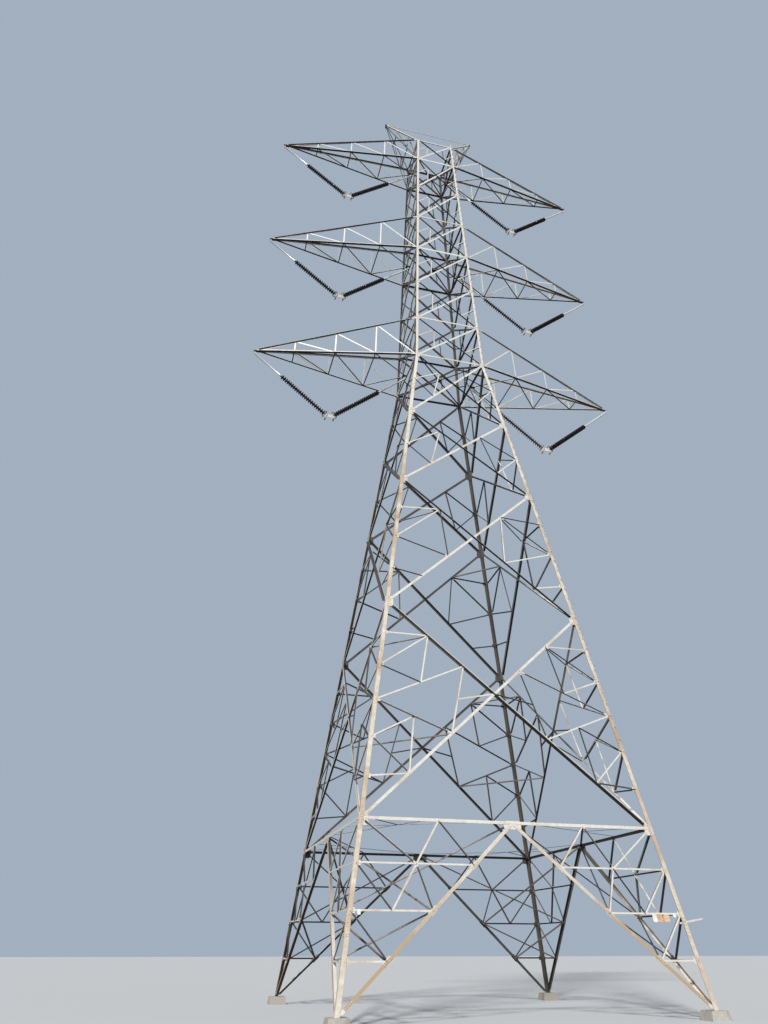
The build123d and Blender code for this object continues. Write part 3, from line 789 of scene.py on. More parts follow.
BASE_PANEL = Panel(
    TOWER.foot, TOWER.belt,
    (("leg:3", "knee:3"), ("leg:2", "knee:2"), ("leg:1", "knee:1"),
     ("leg:4", "mid:leg:3/knee:3"), ("mid:leg:3/knee:3", "knee:2"), ("rail:half", "mid:leg:3/knee:3")),
    (("rail:half", "knee:3"), ("leg:3", "mid:leg:2/knee:2"), ("leg:2", "knee:1"),
     ("mid:leg:3/knee:3", "mid:leg:2/knee:2")),
    {"4": 1.0, "3": 0.75, "2": 0.5, "1": 0.25, "half": 0.5, "middle": 0.0},
)
LOWER_PANEL = Panel(
    TOWER.belt, TOWER.third,
    (("x:5", "leg:4"), ("x:q", "leg:3"), ("x:q", "x:n"), ("leg:3", "x:n"), ("leg:2", "x:m")),
    (("x:5", "leg:5"), ("x:5", "mid:x:q/leg:3"), ("leg:4", "mid:x:q/leg:3"), ("mid:x:q/x:n", "hub"),
     ("leg:2", "mid:leg:3/x:n"), ("mid:leg:3/x:n", "x:m"), ("leg:1", "x:m")),
    {"5": 5 / 6, "4": 4 / 6, "3": 3 / 6, "2": 2 / 6, "1": 1 / 6, "q": 0.69, "n": 0.366, "m": 0.185},
)
THIRD_PANEL = Panel(
    TOWER.third, TOWER.second,
    (("x:u", "leg:2"), ("x:v", "leg:2")),
    (("x:u", "leg:3"), ("x:u", "x:v"), ("x:w", "leg:1")),
    {"3": 0.75, "2": 0.5, "1": 0.25, "u": 0.77, "v": 0.387, "w": 0.213},
)
SECOND_PANEL = Panel(
    TOWER.second, TOWER.first,
    (),
    (("x:u", "leg:1"), ("leg:1", "x:v"), ("x:u", "x:v")),
    {"1": 0.5, "u": 0.748, "v": 0.262},
)
FIRST_PANEL = Panel(TOWER.first, TOWER.waist, (), SECOND_PANEL.bars, {"1": 0.56, "u": 0.735, "v": 0.3})
PANELS = (BASE_PANEL, LOWER_PANEL, THIRD_PANEL, SECOND_PANEL, FIRST_PANEL)


def shortened(ends: Array, first: float, last: float) -> Array:
    """Bars with a length taken off each end: start + run * first to end - run * last."""
    run = unit(ends[:, 1] - ends[:, 0])
    return np.stack([ends[:, 0] + run * first, ends[:, 1] - run * last], 1)


def standing_strips(side: Side, ends: Array, shift: Array | float, near: float, far: float,
                    wall: float) -> Shape:
    """Thin strips that stand square to a side along one edge of its bars.

    A strip's section is a box: wall wide about the line that lies shift to the left of the bar's
    run, and from the near depth to the far one.

    Args:
        side: Which side.
        ends: Both ends of each bar, as offset and height.
        shift: How far to the left of the bar's line each strip stands.
        near: The depth of the strips' outer edge.
        far: The depth of their inner edge.
        wall: The strips' thickness.

    Returns:
        Vertices and faces.
    """
    run = unit(ends[:, 1] - ends[:, 0])
    across = np.stack([-run[:, 1], run[:, 0]], 1)
    line = ends + (across * np.broadcast_to(shift, len(ends))[:, None])[:, None]
    rings = []
    for end in (0, 1):
        for depth, step in ((near, -wall / 2), (near, wall / 2), (far, wall / 2), (far, -wall / 2)):
            rings.append(TOWER.place(side, line[:, end] + across * step, depth))
    vertices = np.stack(rings, 1).reshape(-1, 3)
    box = np.array([[0, 1, 5, 4], [1, 2, 6, 5], [2, 3, 7, 6], [3, 0, 4, 7], [3, 2, 1, 0], [4, 5, 6, 7]])
    quads = box[None] + np.arange(len(ends))[:, None, None] * 8
    return vertices, quads.reshape(-1, 4)


def covers(side: Side, ends: Array, depth: float, width: float) -> Shape:
    """Thin covers, of a width, over packed flats whose outer faces lie at a depth."""
    return standing_strips(side, ends, 0.0, depth - COVER, depth, width)


@dataclass
class RedundantBracing:
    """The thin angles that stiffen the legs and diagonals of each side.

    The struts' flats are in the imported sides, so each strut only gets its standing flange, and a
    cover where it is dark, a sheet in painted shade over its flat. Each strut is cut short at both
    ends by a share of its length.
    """

    width: float = 0.030
    wall: float = 0.003
    cage_width: float = 0.025
    cage_wall: float = 0.0025
    layer_step: float = 0.0004
    level_slope: float = 0.02
    strut_clear: float = 0.06
    cage_nodes: dict[str, float] = field(default_factory=lambda: {"1": 0.5, "u": 0.74, "v": 0.27})

    def body_bars(self, side: Side, dark: bool) -> Shape:
        """The thin bars of one side below the waist.

        Args:
            side: Which side.
            dark: Whether to make the bars that fall to the right or the others.

        Returns:
            Vertices and faces.
        """
        parts = []
        depth = TOWER.leg_wall + TOWER.bar_wall
        for panel in PANELS:
            ends = panel.ends(panel.bars)
            layers = depth + self.layer_step * np.arange(len(ends))
            kept = self.falling(ends) == dark
            parts.append(self.bars(side, ends[kept], layers[kept], self.width, self.wall))
            if panel.struts:
                parts += self.strut_flanges(side, panel.ends(panel.struts), dark)
        return joined(parts)

    def strut_flanges(self, side: Side, ends: Array, dark: bool) -> list[Shape]:
        """The standing flanges of the struts that lean one way, and the dark ones' covers in painted shade.

        Args:
            side: Which side.
            ends: Both ends of each strut.
            dark: Whether to make the struts that fall to the right or the others.

        Returns:
            One or two pairs of vertices and faces.
        """
        ends = ends[self.falling(ends) == dark]
        run = ends[:, 1] - ends[:, 0]
        ends = ends + np.stack([run, -run], 1) * self.strut_clear
        upper = np.where(run[:, 0] > 0, 0.5, -0.5) * (self.width - self.wall)
        depth = TOWER.leg_wall + TOWER.bar_wall
        if not dark:
            return [standing_strips(side, ends, upper, depth, depth + self.width - self.wall, self.wall)]
        return [covers(side, ends, TOWER.leg_wall, self.width),
                standing_strips(side, ends, -upper, depth - self.width, TOWER.leg_wall, self.wall)]

    def cage_bars(self, side: Side, dark: bool) -> Shape:
        """The thin bars of one side of the cage.

        In each panel a bar runs to the leg's middle from the upper node on the left and from the
        lower node on the right, and a post joins the two nodes on both.

        Args:
            side: Which side.
            dark: Whether to make the bars that fall to the right or the others.

        Returns:
            Vertices and faces.
        """
        ends = []
        for low, high in zip(CAGE_LEVELS, CAGE_LEVELS[1:]):
            panel = Panel(low, high, nodes=self.cage_nodes)
            for hand, node in ((-1.0, "x:u"), (1.0, "x:v")):
                ends += [[panel.point("leg:1", hand), panel.point(node, hand)],
                         [panel.point("x:u", hand), panel.point("x:v", hand)]]
        ends = np.array(ends)
        layers = TOWER.cage_leg_wall + TOWER.cage_bar_wall + self.layer_step * np.arange(len(ends))
        kept = self.falling(ends) == dark
        return self.bars(side, ends[kept], layers[kept], self.cage_width, self.cage_wall)

    def falling(self, ends: Array) -> Array:
        """Which bars fall to the right, seen from outside, by more than a slight slope."""
        run = ends[:, 1] - ends[:, 0]
        return run[:, 0] * run[:, 1] < -self.level_slope * np.abs(run[:, 0])

    def bars(self, side: Side, ends: Array, layers: Array, width: float, wall: float) -> Shape:
        """Angles between pairs of points of a side, each in its own thin layer.

        Where a bar falls to the right its flat faces inwards and its flange stands outwards on its
        lower edge. The other bars' flats face outwards, with the flange inwards on the upper edge.

        Args:
            side: Which side.
            ends: Both ends of each bar, as offset and height.
            layers: How deep each bar's outer face lies.
            width: The flanges' width.
            wall: The flanges' thickness.

        Returns:
            Vertices and faces.
        """
        falling = self.falling(ends)
        depths = layers + np.where(falling, wall, 0.0)
        starts = TOWER.place(side, ends[:, 0], depths)
        finishes = TOWER.place(side, ends[:, 1], depths)
        outwards = np.tile(TOWER.outward(side, float(ends[:, :, 1].mean())), (len(ends), 1))
        outwards = outwards * np.where(falling, -1.0, 1.0)[:, None]
        lower = lower_edge_flip(starts, finishes, outwards)
        return angle_bars(starts, finishes, outwards, width, wall, np.where(falling, lower, ~lower))

    def build(self) -> None:
        """Make a pale piece and one in painted shade of thin bars for each side, above the waist and below
        it.
        """
        for side in Side:
            # The bars that fall to the right get the steel in painted shade.
            for dark, finish in ((False, BAR_STEEL), (True, DEEP_SHADE_STEEL)):
                name = side.name.lower() + ("_dark" if dark else "")
                make_piece(f"redundant_bracing_{name}", self.body_bars(side, dark), finish)
                make_piece(f"cage_redundants_{name}", self.cage_bars(side, dark), finish)


def lower_edge_flip(starts: Array, ends: Array, outwards: Array) -> Array:
    """Which angles must be flipped for their standing flange to lie on their lower edge."""
    return np.cross(ends - starts, outwards)[:, 2] > 0


@dataclass
class HipBracing:
    """The bars that run across each corner, between the bracing of the two sides that meet there.

    A pair of nodes that differ is joined both ways, so that its two bars cross.
    """

    width: float = 0.028
    wall: float = 0.003
    depth: float = 0.040
    step: float = 0.004
    pairs: tuple[tuple[Panel, str, str], ...] = (
        (BASE_PANEL, "rail:middle", "knee:2"), (BASE_PANEL, "knee:2", "knee:1"), (LOWER_PANEL, "x:5", "x:5"),
        (LOWER_PANEL, "x:n", "x:n"), (THIRD_PANEL, "x:u", "x:u"),
    )

    def build(self) -> None:
        """Make one piece of hip bars for each corner."""
        sides = list(Side)
        for first, second in zip(sides, sides[1:] + sides[:1]):
            starts, ends = [], []
            for panel, a, b in self.pairs:
                for one, other in dict.fromkeys(((a, b), (b, a))):
                    deep = self.depth + self.step * len(starts)
                    starts.append(TOWER.place(first, np.array([panel.point(one, 1.0)]), deep)[0])
                    ends.append(TOWER.place(second, np.array([panel.point(other, -1.0)]), deep)[0])
            starts, ends = np.array(starts), np.array(ends)
            inwards = np.tile(turned(np.array([-1.0, 1.0, 0.0]), first.value), (len(starts), 1))
            flip = lower_edge_flip(starts, ends, inwards)
            bars = angle_bars(starts, ends, inwards, self.width, self.wall, flip)
            # All hips but those of the corner after the right side get the brown steel in painted shade.
            finish = BAR_STEEL if first is Side.RIGHT else SHADED_BROWN_STEEL
            make_piece(f"hip_bracing_{first.name.lower()}", bars, finish)


@dataclass
class Joints:
    """The gusset plates behind the bars and the bolts through them, on every side.

    A row of bolts on the base is given as its first bolt's distance and its count.
    """

    wall: float = 0.005
    lap: float = 0.0002
    slack: float = 0.01
    leg_plate: tuple[float, float] = (0.17, 0.24)
    leg_plate_inset: float = 0.035
    cage_plate: tuple[float, float] = (0.10, 0.14)
    cage_plate_inset: float = 0.02
    top_plate_drop: float = 0.07
    apex_plate: tuple[float, float] = (0.34, 0.15)
    apex_plate_drop: float = 0.03
    limb_plate: tuple[float, float] = (0.20, 0.085)
    strut_plate: tuple[float, float] = (0.09, 0.09)
    strut_plate_inset: float = 0.03
    knees: tuple[str, ...] = ("knee:3", "knee:2", "knee:1")
    bolt: float = 0.010
    bolt_height: float = 0.007
    pitch: float = 0.045
    count: int = 3
    cage_bolt: float = 0.008
    cage_pitch: float = 0.035
    cage_count: int = 2
    first_pitches: float = 1.9
    top_clear: float = 0.02
    apex_to_foot: tuple[float, int] = (0.07, 5)
    foot_to_apex: tuple[float, int] = (0.16, 4)
    apex_to_corner: tuple[float, int] = (0.03, 4)
    corner_to_apex: tuple[float, int] = (0.08, 3)
    from_knee: tuple[float, int] = (0.03, 2)

    def sheets(self, side: Side) -> Shape:
        """One side's gusset plates, from rows of offset, height, two parts of a direction and two sizes.

        Args:
            side: Which side.

        Returns:
            Vertices and faces.
        """
        level, rising = (1.0, 0.0), (0.0, 1.0)
        rows = [(0.0, TOWER.belt - self.apex_plate_drop, *level, *self.apex_plate)]
        for hand in (1.0, -1.0):
            for z in BODY_LEVELS[:-1]:
                x = hand * float(TOWER.gauge(z) - self.leg_plate_inset)
                rows.append((x, z, *level, *self.leg_plate))
            for z in (*CAGE_LEVELS[:-1], TOWER.top - self.top_plate_drop):
                x = hand * float(TOWER.gauge(z) - self.cage_plate_inset)
                rows.append((x, z, *level, *self.cage_plate))
            falling = (hand * float(TOWER.gauge(TOWER.foot)), TOWER.foot - TOWER.belt)
            rows += [(*BASE_PANEL.point(key, hand), *falling, *self.limb_plate) for key in self.knees]
            for panel in PANELS:
                keys = {key for bar in panel.struts + panel.bars for key in bar if key.startswith("leg:")}
                for x, z in (panel.point(key, hand) for key in sorted(keys)):
                    rows.append((x - hand * self.strut_plate_inset, z, *rising, *self.strut_plate))
        table = np.array(rows)
        flat = np.where(table[:, 1] > TOWER.waist - self.slack, TOWER.cage_leg_wall + TOWER.cage_bar_wall,
                        TOWER.leg_wall + TOWER.bar_wall)
        centres = TOWER.place(side, table[:, :2], flat + self.wall - self.lap)
        ahead = TOWER.place(side, table[:, :2] + STRIDE * unit(table[:, 2:4]), flat + self.wall - self.lap)
        return plates(centres, ahead - centres, TOWER.outwards(side, table[:, 1]), table[:, 4:6], self.wall)

    def row(self, start: Array, towards: Array, first: float, pitch: float, count: int) -> Array:
        """Points along a bar: start + direction * (first + pitch * n)."""
        return start + unit(towards - start) * (first + pitch * np.arange(count))[:, None]

    def on_legs(self, levels: tuple[float, ...], pitch: float, count: int) -> Array:
        """Places on the legs' gauge lines: a row across each level, with count bolts over and under it."""
        rows = []
        for hand in (1.0, -1.0):
            for z in levels:
                rise = z + pitch * (np.arange(2 * count) - count + 0.5)
                rows.append(TOWER.on_gauge(rise[rise < TOWER.top - self.top_clear], hand))
        return np.concatenate(rows)

    def on_diagonals(self, levels: tuple[float, ...], pitch: float, count: int) -> list[Array]:
        """Places on the diagonals of all panels: a row at each end and one bolt where they cross."""
        rows = []
        for low, high in zip(levels, levels[1:]):
            for start, end in diagonals([(low, high)]):
                rows += [self.row(start, end, self.first_pitches * pitch, pitch, count),
                         self.row(end, start, self.first_pitches * pitch, pitch, count)]
            rows.append(np.array([Panel(low, high).point("hub", 1.0)]))
        return rows

    def on_base(self) -> list[Array]:
        """Places on the two limbs and the belt's rail."""
        apex = np.array([0.0, TOWER.belt])
        rows = []
        for hand in (1.0, -1.0):
            foot, corner = (TOWER.on_gauge(np.array([z]), hand)[0] for z in (TOWER.foot, TOWER.belt))
            rows += [(apex, foot, self.apex_to_foot), (foot, apex, self.foot_to_apex),
                     (apex, corner, self.apex_to_corner), (corner, apex, self.corner_to_apex)]
            for key in self.knees:
                knee = np.array(BASE_PANEL.point(key, hand))
                rows += [(knee, foot, self.from_knee), (knee, apex, self.from_knee)]
        return [self.row(start, end, first, self.pitch, count) for start, end, (first, count) in rows]

    def heads(self, side: Side, points: Array, depth: Array | float, radius: float) -> Shape:
        """Bolt heads at a side's points, standing out of a surface at a depth."""
        normals = TOWER.outwards(side, points[:, 1])
        return bolt_heads(TOWER.place(side, points, depth), normals, radius, self.bolt_height)

    def bolts(self, side: Side) -> Shape:
        """One side's bolt heads: on the legs' faces at each node and along the bars' ends.

        Args:
            side: Which side.

        Returns:
            Vertices and faces.
        """
        parts = []
        for levels, wall, radius, pitch, count in (
            (BODY_LEVELS, TOWER.leg_wall, self.bolt, self.pitch, self.count),
            (CAGE_LEVELS, TOWER.cage_leg_wall, self.cage_bolt, self.cage_pitch, self.cage_count),
        ):
            on_bars = self.on_diagonals(levels, pitch, count)
            if levels is BODY_LEVELS:
                on_bars += self.on_base()
            parts += [self.heads(side, self.on_legs(levels, pitch, count), 0.0, radius),
                      self.heads(side, np.concatenate(on_bars), wall, radius)]
        ends = np.concatenate([panel.ends(panel.struts).reshape(-1, 2) for panel in PANELS])
        at_leg = np.abs(ends[:, 0]) > TOWER.gauge(ends[:, 1]) - self.slack
        parts.append(self.heads(side, ends, np.where(at_leg, 0.0, TOWER.leg_wall), self.bolt))
        return joined(parts)

    def build(self) -> None:
        """Make each side's plates and bolts."""
        for side in Side:
            name = side.name.lower()
            make_piece(f"gussets_{name}", self.sheets(side), BAR_STEEL)
            make_piece(f"bolts_{name}", self.bolts(side), FITTING_STEEL)


@dataclass
class Legs:
    """The four corner legs, as rolled angles that change size at the waist."""

    width: float = 0.080
    cage_width: float = 0.066

    def angle(self, x: float, y: float, low: float, high: float, width: float, wall: float) -> Shape:
        """One straight length of a leg: a section point is (x, y) * (half(z) - a, half(z) - b).

        Args:
            x: 1 or -1, the leg's side across the line.
            y: 1 or -1, its side along the line.
            low: The length's foot.
            high: Its head.
            width: The flanges' width.
            wall: Their thickness.

        Returns:
            Vertices and faces.
        """
        outline = np.array([(0, 0), (width, 0), (width, wall), (wall, wall), (wall, width), (0, width)])
        rings = []
        for z in (low, high):
            across = float(TOWER.half(z)) - outline
            rings.append(np.column_stack([x * across[:, 0], y * across[:, 1], np.full(6, z)]))
        quads = np.array(prism_sides(6) + [[3, 2, 1, 0], [5, 4, 3, 0], [6, 7, 8, 9], [6, 9, 10, 11]])
        return np.concatenate(rings), quads if x * y > 0 else quads[:, ::-1]

    def build(self) -> None:
        """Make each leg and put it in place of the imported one."""
        for depth, y in (("near", -1.0), ("far", 1.0)):
            for hand, x in HANDS.items():
                parts = [self.angle(x, y, TOWER.foot, TOWER.waist, self.width, TOWER.leg_wall),
                         self.angle(x, y, TOWER.waist, TOWER.top, self.cage_width, TOWER.cage_leg_wall)]
                piece = make_piece(f"leg_angles_{depth}_{hand}", joined(parts), LEG_STEEL)
                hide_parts(f"leg_{depth}_{hand}")


@dataclass
class LegFittings:
    """The climbing steps up the near right leg, the legs' splices and the things fixed low down.

    A tag is given as its offset, its height and its two sizes.
    """

    first_step: float = 4.4
    step_pitch: float = 0.25
    step_length: float = 0.060
    step_radius: float = 0.005
    step_inset: float = 0.022
    head_radius: float = 0.009
    head_length: float = 0.008
    head_slope: float = 0.002
    peg_sides: int = 8
    top_clear: float = 0.1
    splices: tuple[float, ...] = (1.40, 6.10, 9.90, 14.30)
    splice_size: tuple[float, float] = (0.36, 0.068)
    splice_shift: float = 0.010
    splice_wall: float = 0.005
    row_shifts: tuple[float, float] = (-0.010, 0.028)
    row_half: float = 0.14
    row_count: int = 6
    bolt: float = 0.009
    bolt_height: float = 0.006
    tag_wall: float = 0.004
    tag_gap: float = 0.0005
    tag_height: float = 1.5
    white_tags: tuple[tuple[float, ...], ...] = (
        (2.500, 1.535, 0.085, 0.135), (2.906, 1.575, 0.06, 0.06), (-2.904, 1.575, 0.055, 0.075),
    )
    orange_tags: tuple[tuple[float, ...], ...] = ((2.600, 1.532, 0.11, 0.13), (2.735, 1.530, 0.12, 0.12))
    stub_start: tuple[float, float, float] = (2.98, -3.10, 1.455)
    stub_end: tuple[float, float, float] = (3.46, -3.10, 1.53)

    def steps(self) -> Shape:
        """Round pegs that stand out of the leg's two faces by turns, each with a wider end.

        Returns:
            Vertices and faces.
        """
        length, neck = self.step_length, self.step_length - self.head_length
        outline = [(0.0, 0.0), (self.step_radius, 0.0), (self.step_radius, neck),
                   (self.head_radius, neck + self.head_slope), (self.head_radius, length), (0.0, length)]
        peg = revolved(np.array(outline), self.peg_sides)
        top = TOWER.top - self.top_clear
        z = np.arange(self.first_step, top, self.step_pitch)
        parts = []
        for side, hand, heights in ((Side.NEAR, 1.0, z + self.step_pitch / 2), (Side.RIGHT, -1.0, z)):
            heights = heights[heights < top]
            across = hand * (TOWER.half(heights) - self.step_inset)
            places = TOWER.place(side, np.stack([across, heights], 1), 0.0)
            upwards = np.tile([0.0, 0.0, 1.0], (len(places), 1))
            parts.append(repeated(*peg, places, axes_along(TOWER.outwards(side, heights), upwards)))
        return joined(parts)

    def splice_plates(self) -> Shape:
        """Cover plates on both faces of each leg, with two rows of bolts on each.

        Returns:
            Vertices and faces.
        """
        parts = []
        z = np.array(self.splices)
        sizes = np.tile(self.splice_size, (len(z), 1))
        heights = (z[:, None] + np.linspace(-self.row_half, self.row_half, self.row_count)).ravel()
        for side in Side:
            facing, normals = TOWER.outwards(side, z), TOWER.outwards(side, heights)
            for hand in (1.0, -1.0):
                centres, ahead = (TOWER.place(side, TOWER.on_gauge(rise, hand, self.splice_shift), 0.0)
                                  for rise in (z, z + STRIDE))
                parts.append(plates(centres, ahead - centres, facing, sizes, self.splice_wall))
                for shift in self.row_shifts:
                    places = TOWER.place(side, TOWER.on_gauge(heights, hand, shift), -self.splice_wall)
                    parts.append(bolt_heads(places, normals, self.bolt, self.bolt_height))
        return joined(parts)

    def tags(self, rows: tuple[tuple[float, ...], ...]) -> Shape:
        """Small plates that hang on the near side's strut."""
        table = np.array(rows)
        outward = np.tile(TOWER.outward(Side.NEAR, self.tag_height), (len(rows), 1))
        centres = TOWER.place(Side.NEAR, table[:, :2], TOWER.leg_wall + self.tag_gap)
        return plates(centres, np.tile([1.0, 0.0, 0.0], (len(rows), 1)), outward, table[:, 2:], self.tag_wall)

    def build(self) -> None:
        """Make the steps, the splices, the bare sign plates and the stub bracket."""
        make_piece("climbing_steps", self.steps(), BAR_STEEL)
        make_piece("leg_splices", self.splice_plates(), LEG_STEEL)
        make_piece("sign_plate_white", self.tags(self.white_tags), SIGN_WHITE)
        make_piece("sign_plate_orange", self.tags(self.orange_tags), SIGN_ORANGE)
        start, end = np.array([self.stub_start]), np.array([self.stub_end])
        stub = angle_bars(start, end, FRONT, STUB_WIDTH, STUB_WALL)
        make_piece("stub_bracket", stub, BAR_STEEL)


@dataclass
class StandingFlanges:
    """The standing flanges of the diagonals, and thin covers over packed flats.

    Where a bar rises to the right its flange stands inwards on its upper edge. Where it rises to
    the left its flange stands outwards on its lower edge, and the bar is in painted shade.
    """

    width: float = 0.055
    clear: float = 0.10
    foot_width: float = 0.040
    foot_clear: float = 0.14
    cage_width: float = 0.045
    cage_clear: float = 0.09
    cage_cover_width: float = 0.052
    rail_width: float = 0.044
    rail_clear: float = 0.06
    top_rail_drop: float = 0.026
    limb_width: float = 0.056
    limb_clear: tuple[float, float] = (0.05, 0.14)

    def build(self) -> None:
        """Make a pale piece and one in painted shade for each side, above the waist and below it, and its
        limbs' covers.
        """
        body = list(zip(BODY_LEVELS[1:], BODY_LEVELS[2:]))
        cage = list(zip(CAGE_LEVELS, CAGE_LEVELS[1:]))
        foot = [(TOWER.belt, TOWER.third)]
        for side in Side:
            name = side.name.lower()
            pale = self.flanges(side, body, False, self.width, self.clear)
            dark = [self.flanges(side, body, True, self.width, self.clear)]
            if side in (Side.NEAR, Side.FAR):
                dark.append(self.flanges(side, foot, True, self.foot_width, self.foot_clear))
            make_piece(f"limb_covers_{name}", self.limbs(side), LIMB_STEEL)
            make_piece(f"middle_flanges_{name}", pale, BAR_STEEL)
            # The diagonals that fall to the right, with their covers, get the steel in painted shade.
            make_piece(f"middle_flanges_{name}_dark", joined(dark), DEEP_SHADE_STEEL)
            pale = [self.flanges(side, cage, False, self.cage_width, self.cage_clear), self.rails(side)]
            dark = self.flanges(side, cage, True, self.cage_width, self.cage_clear)
            make_piece(f"cage_flanges_{name}", joined(pale), WHITE_STEEL)
            # The cage's diagonals that fall to the right, with their covers, get the steel in painted shade.
            make_piece(f"cage_flanges_{name}_dark", dark, DEEP_SHADE_STEEL)

    def limbs(self, side: Side) -> Shape:
        """Covers over the two limbs that run from the belt's middle to the feet."""
        apex, foot = (0.0, TOWER.belt), float(TOWER.gauge(TOWER.foot))
        ends = np.array([[apex, (hand * foot, TOWER.foot)] for hand in (1.0, -1.0)])
        return covers(side, shortened(ends, *self.limb_clear), TOWER.leg_wall, self.limb_width)

    def rails(self, side: Side) -> Shape:
        """Covers over the cage's level bars: at the bottoms of the two upper arms and at the top."""
        levels = (ARMS[Level.MIDDLE].bottom, ARMS[Level.HIGH].bottom, TOWER.top - self.top_rail_drop)
        reaches = [float(TOWER.gauge(z)) - self.rail_clear for z in levels]
        ends = np.array([[(-reach, z), (reach, z)] for reach, z in zip(reaches, levels)])
        return covers(side, ends, TOWER.cage_leg_wall, self.rail_width)

    def flanges(self, side: Side, panels: list[tuple[float, float]], dark: bool, width: float,
                clear: float) -> Shape:
        """The standing flanges of the diagonals that lean one way, with covers where they need them.

        The pale diagonals below the waist show their packed flats, and all others get covers; on the
        dark diagonals these covers are sheets in painted shade.

        Args:
            side: Which side.
            panels: Pairs of levels.
            dark: Whether to make the diagonals that fall to the right or the others.
            width: The flanges' width.
            clear: How far each strip stays from the leg's gauge line, along the diagonal.

        Returns:
            Vertices and faces.
        """
        aloft = panels[0][0] >= TOWER.waist
        leg_wall = TOWER.cage_leg_wall if aloft else TOWER.leg_wall
        wall = TOWER.cage_bar_wall if aloft else TOWER.bar_wall
        ends = shortened(diagonals(panels)[int(dark)::2], clear, clear)
        near, far = (leg_wall + wall - width, leg_wall) if dark else (leg_wall + wall, leg_wall + width)
        parts = [standing_strips(side, ends, (width - wall) / 2, near, far, wall)]
        if dark or aloft:
            span = width - 2 * wall if dark else self.cage_cover_width
            parts.append(covers(side, ends, leg_wall, span))
        return joined(parts)


def slats(starts: Array, ends: Array, acrosses: Array, width: float, wall: float) -> Shape:
    """Flat strips between pairs of points: each lies along its run and across * [0, width].

    Args:
        starts: Each strip's start, on its inner edge.
        ends: Each strip's end.
        acrosses: The direction from the inner edge to the outer one.
        width: The strips' width.
        wall: Their thickness, measured on the side that run x across points to.

    Returns:
        Vertices and faces.
    """
    run = unit(ends - starts)
    across = unit(acrosses - np.sum(acrosses * run, axis=1, keepdims=True) * run)
    normal = np.cross(run, across)
    ring = [across * a + normal * d for a, d in ((0.0, 0.0), (width, 0.0), (width, wall), (0.0, wall))]
    vertices = np.stack([starts + step for step in ring] + [ends + step for step in ring], 1).reshape(-1, 3)
    box = np.array([[0, 4, 5, 1], [1, 5, 6, 2], [2, 6, 7, 3], [3, 7, 4, 0], [0, 1, 2, 3], [7, 6, 5, 4]])
    return vertices, (box[None] + np.arange(len(starts))[:, None, None] * 8).reshape(-1, 4)


@dataclass
class ArmFlanges:
    """The lips of the arms' chords and the covers of their webs.

    A strip stands out of the near side along each chord's lower edge, and an upstand stands along
    the inner edge of each bottom chord. Gaps and stations are shares of a chord's length.
    """

    chord: float = 0.050
    wall: float = 0.004
    top_lip: float = 0.036
    bottom_lip: float = 0.020
    upstand: float = 0.034
    root_gap: float = 0.03
    tip_gap: float = 0.03
    upstand_gap: float = 0.10
    stations: tuple[float, ...] = (0.25, 0.5, 0.75)
    web_width: float = 0.038
    web_clear: float = 0.06

    def webs(self, low: Array, high: Array, tip: Array, outward: Array) -> Shape:
        """Pale covers over the posts and diagonals of one side of an arm.

        Args:
            low: The bottom chord's root.
            high: The top chord's root.
            tip: The arm's tip.
            outward: The direction the side faces.

        Returns:
            Vertices and faces.
        """
        heads = [tip + (high - tip) * share for share in self.stations]
        feet = [tip + (low - tip) * share for share in (*self.stations, 1.0)]
        ends = shortened(np.stack([heads + heads, feet[:3] + feet[1:]], 1), self.web_clear, self.web_clear)
        outwards = np.tile(outward, (len(ends), 1))
        aside = np.cross(unit(ends[:, 1] - ends[:, 0]), outwards) * self.web_width / 2
        return slats(ends[:, 0] - aside, ends[:, 1] - aside, outwards, COVER, self.web_width)

    def lips(self, low: Array, high: Array, tip: Array,
             outward: Array) -> list[tuple[Array, Array, Array, float]]:
        """The start, end, direction across and width of each lip of a right-hand arm.

        Args:
            low: The near bottom chord's root.
            high: The near top chord's root.
            tip: The arm's tip.
            outward: The direction the near side faces.

        Returns:
            One row for each lip.
        """
        run = unit(tip - high)
        down = unit(low - high - np.dot(low - high, run) * run)
        up, inset = np.array([0.0, 0.0, 1.0]), np.array([0.0, self.chord, 0.0])
        far = low * [1.0, -1.0, 1.0]
        rows = [(low, outward, self.bottom_lip, self.tip_gap),
                (high + down * self.chord, outward, self.top_lip, self.tip_gap),
                (low + inset, up, self.upstand, self.upstand_gap),
                (far - inset, up, self.upstand, self.upstand_gap)]
        found = []
        for corner, across, width, gap in rows:
            run = tip - corner
            found.append((corner + run * self.root_gap, corner + run * (1.0 - gap), across, width))
        return found

    def build(self) -> None:
        """Make one piece of lips and one of pale web covers for each arm."""
        for level, arm in ARMS.items():
            tip = np.array([arm.reach, 0.0, arm.bottom])
            low, high = (np.array([TOWER.half(z), -TOWER.half(z), z]) for z in (arm.bottom, arm.top))
            outward = unit(np.cross(high - tip, low - tip))
            outward = outward * -np.sign(outward[1])
            for hand, sign in HANDS.items():
                mirror = np.array([sign, 1.0, 1.0])
                made = [slats(*(row[None] * mirror for row in lip), width, self.wall)
                        for *lip, width in self.lips(low, high, tip, outward)]
                make_piece(f"arm_flanges_{level.value}_{hand}", joined(made), ARM_STEEL)
                webs = [self.webs(low * flip, high * flip, tip * flip, outward * flip)
                        for flip in (mirror, mirror * [1.0, -1.0, 1.0])]
                make_piece(f"arm_webs_{level.value}_{hand}", joined(webs), WHITE_STEEL)


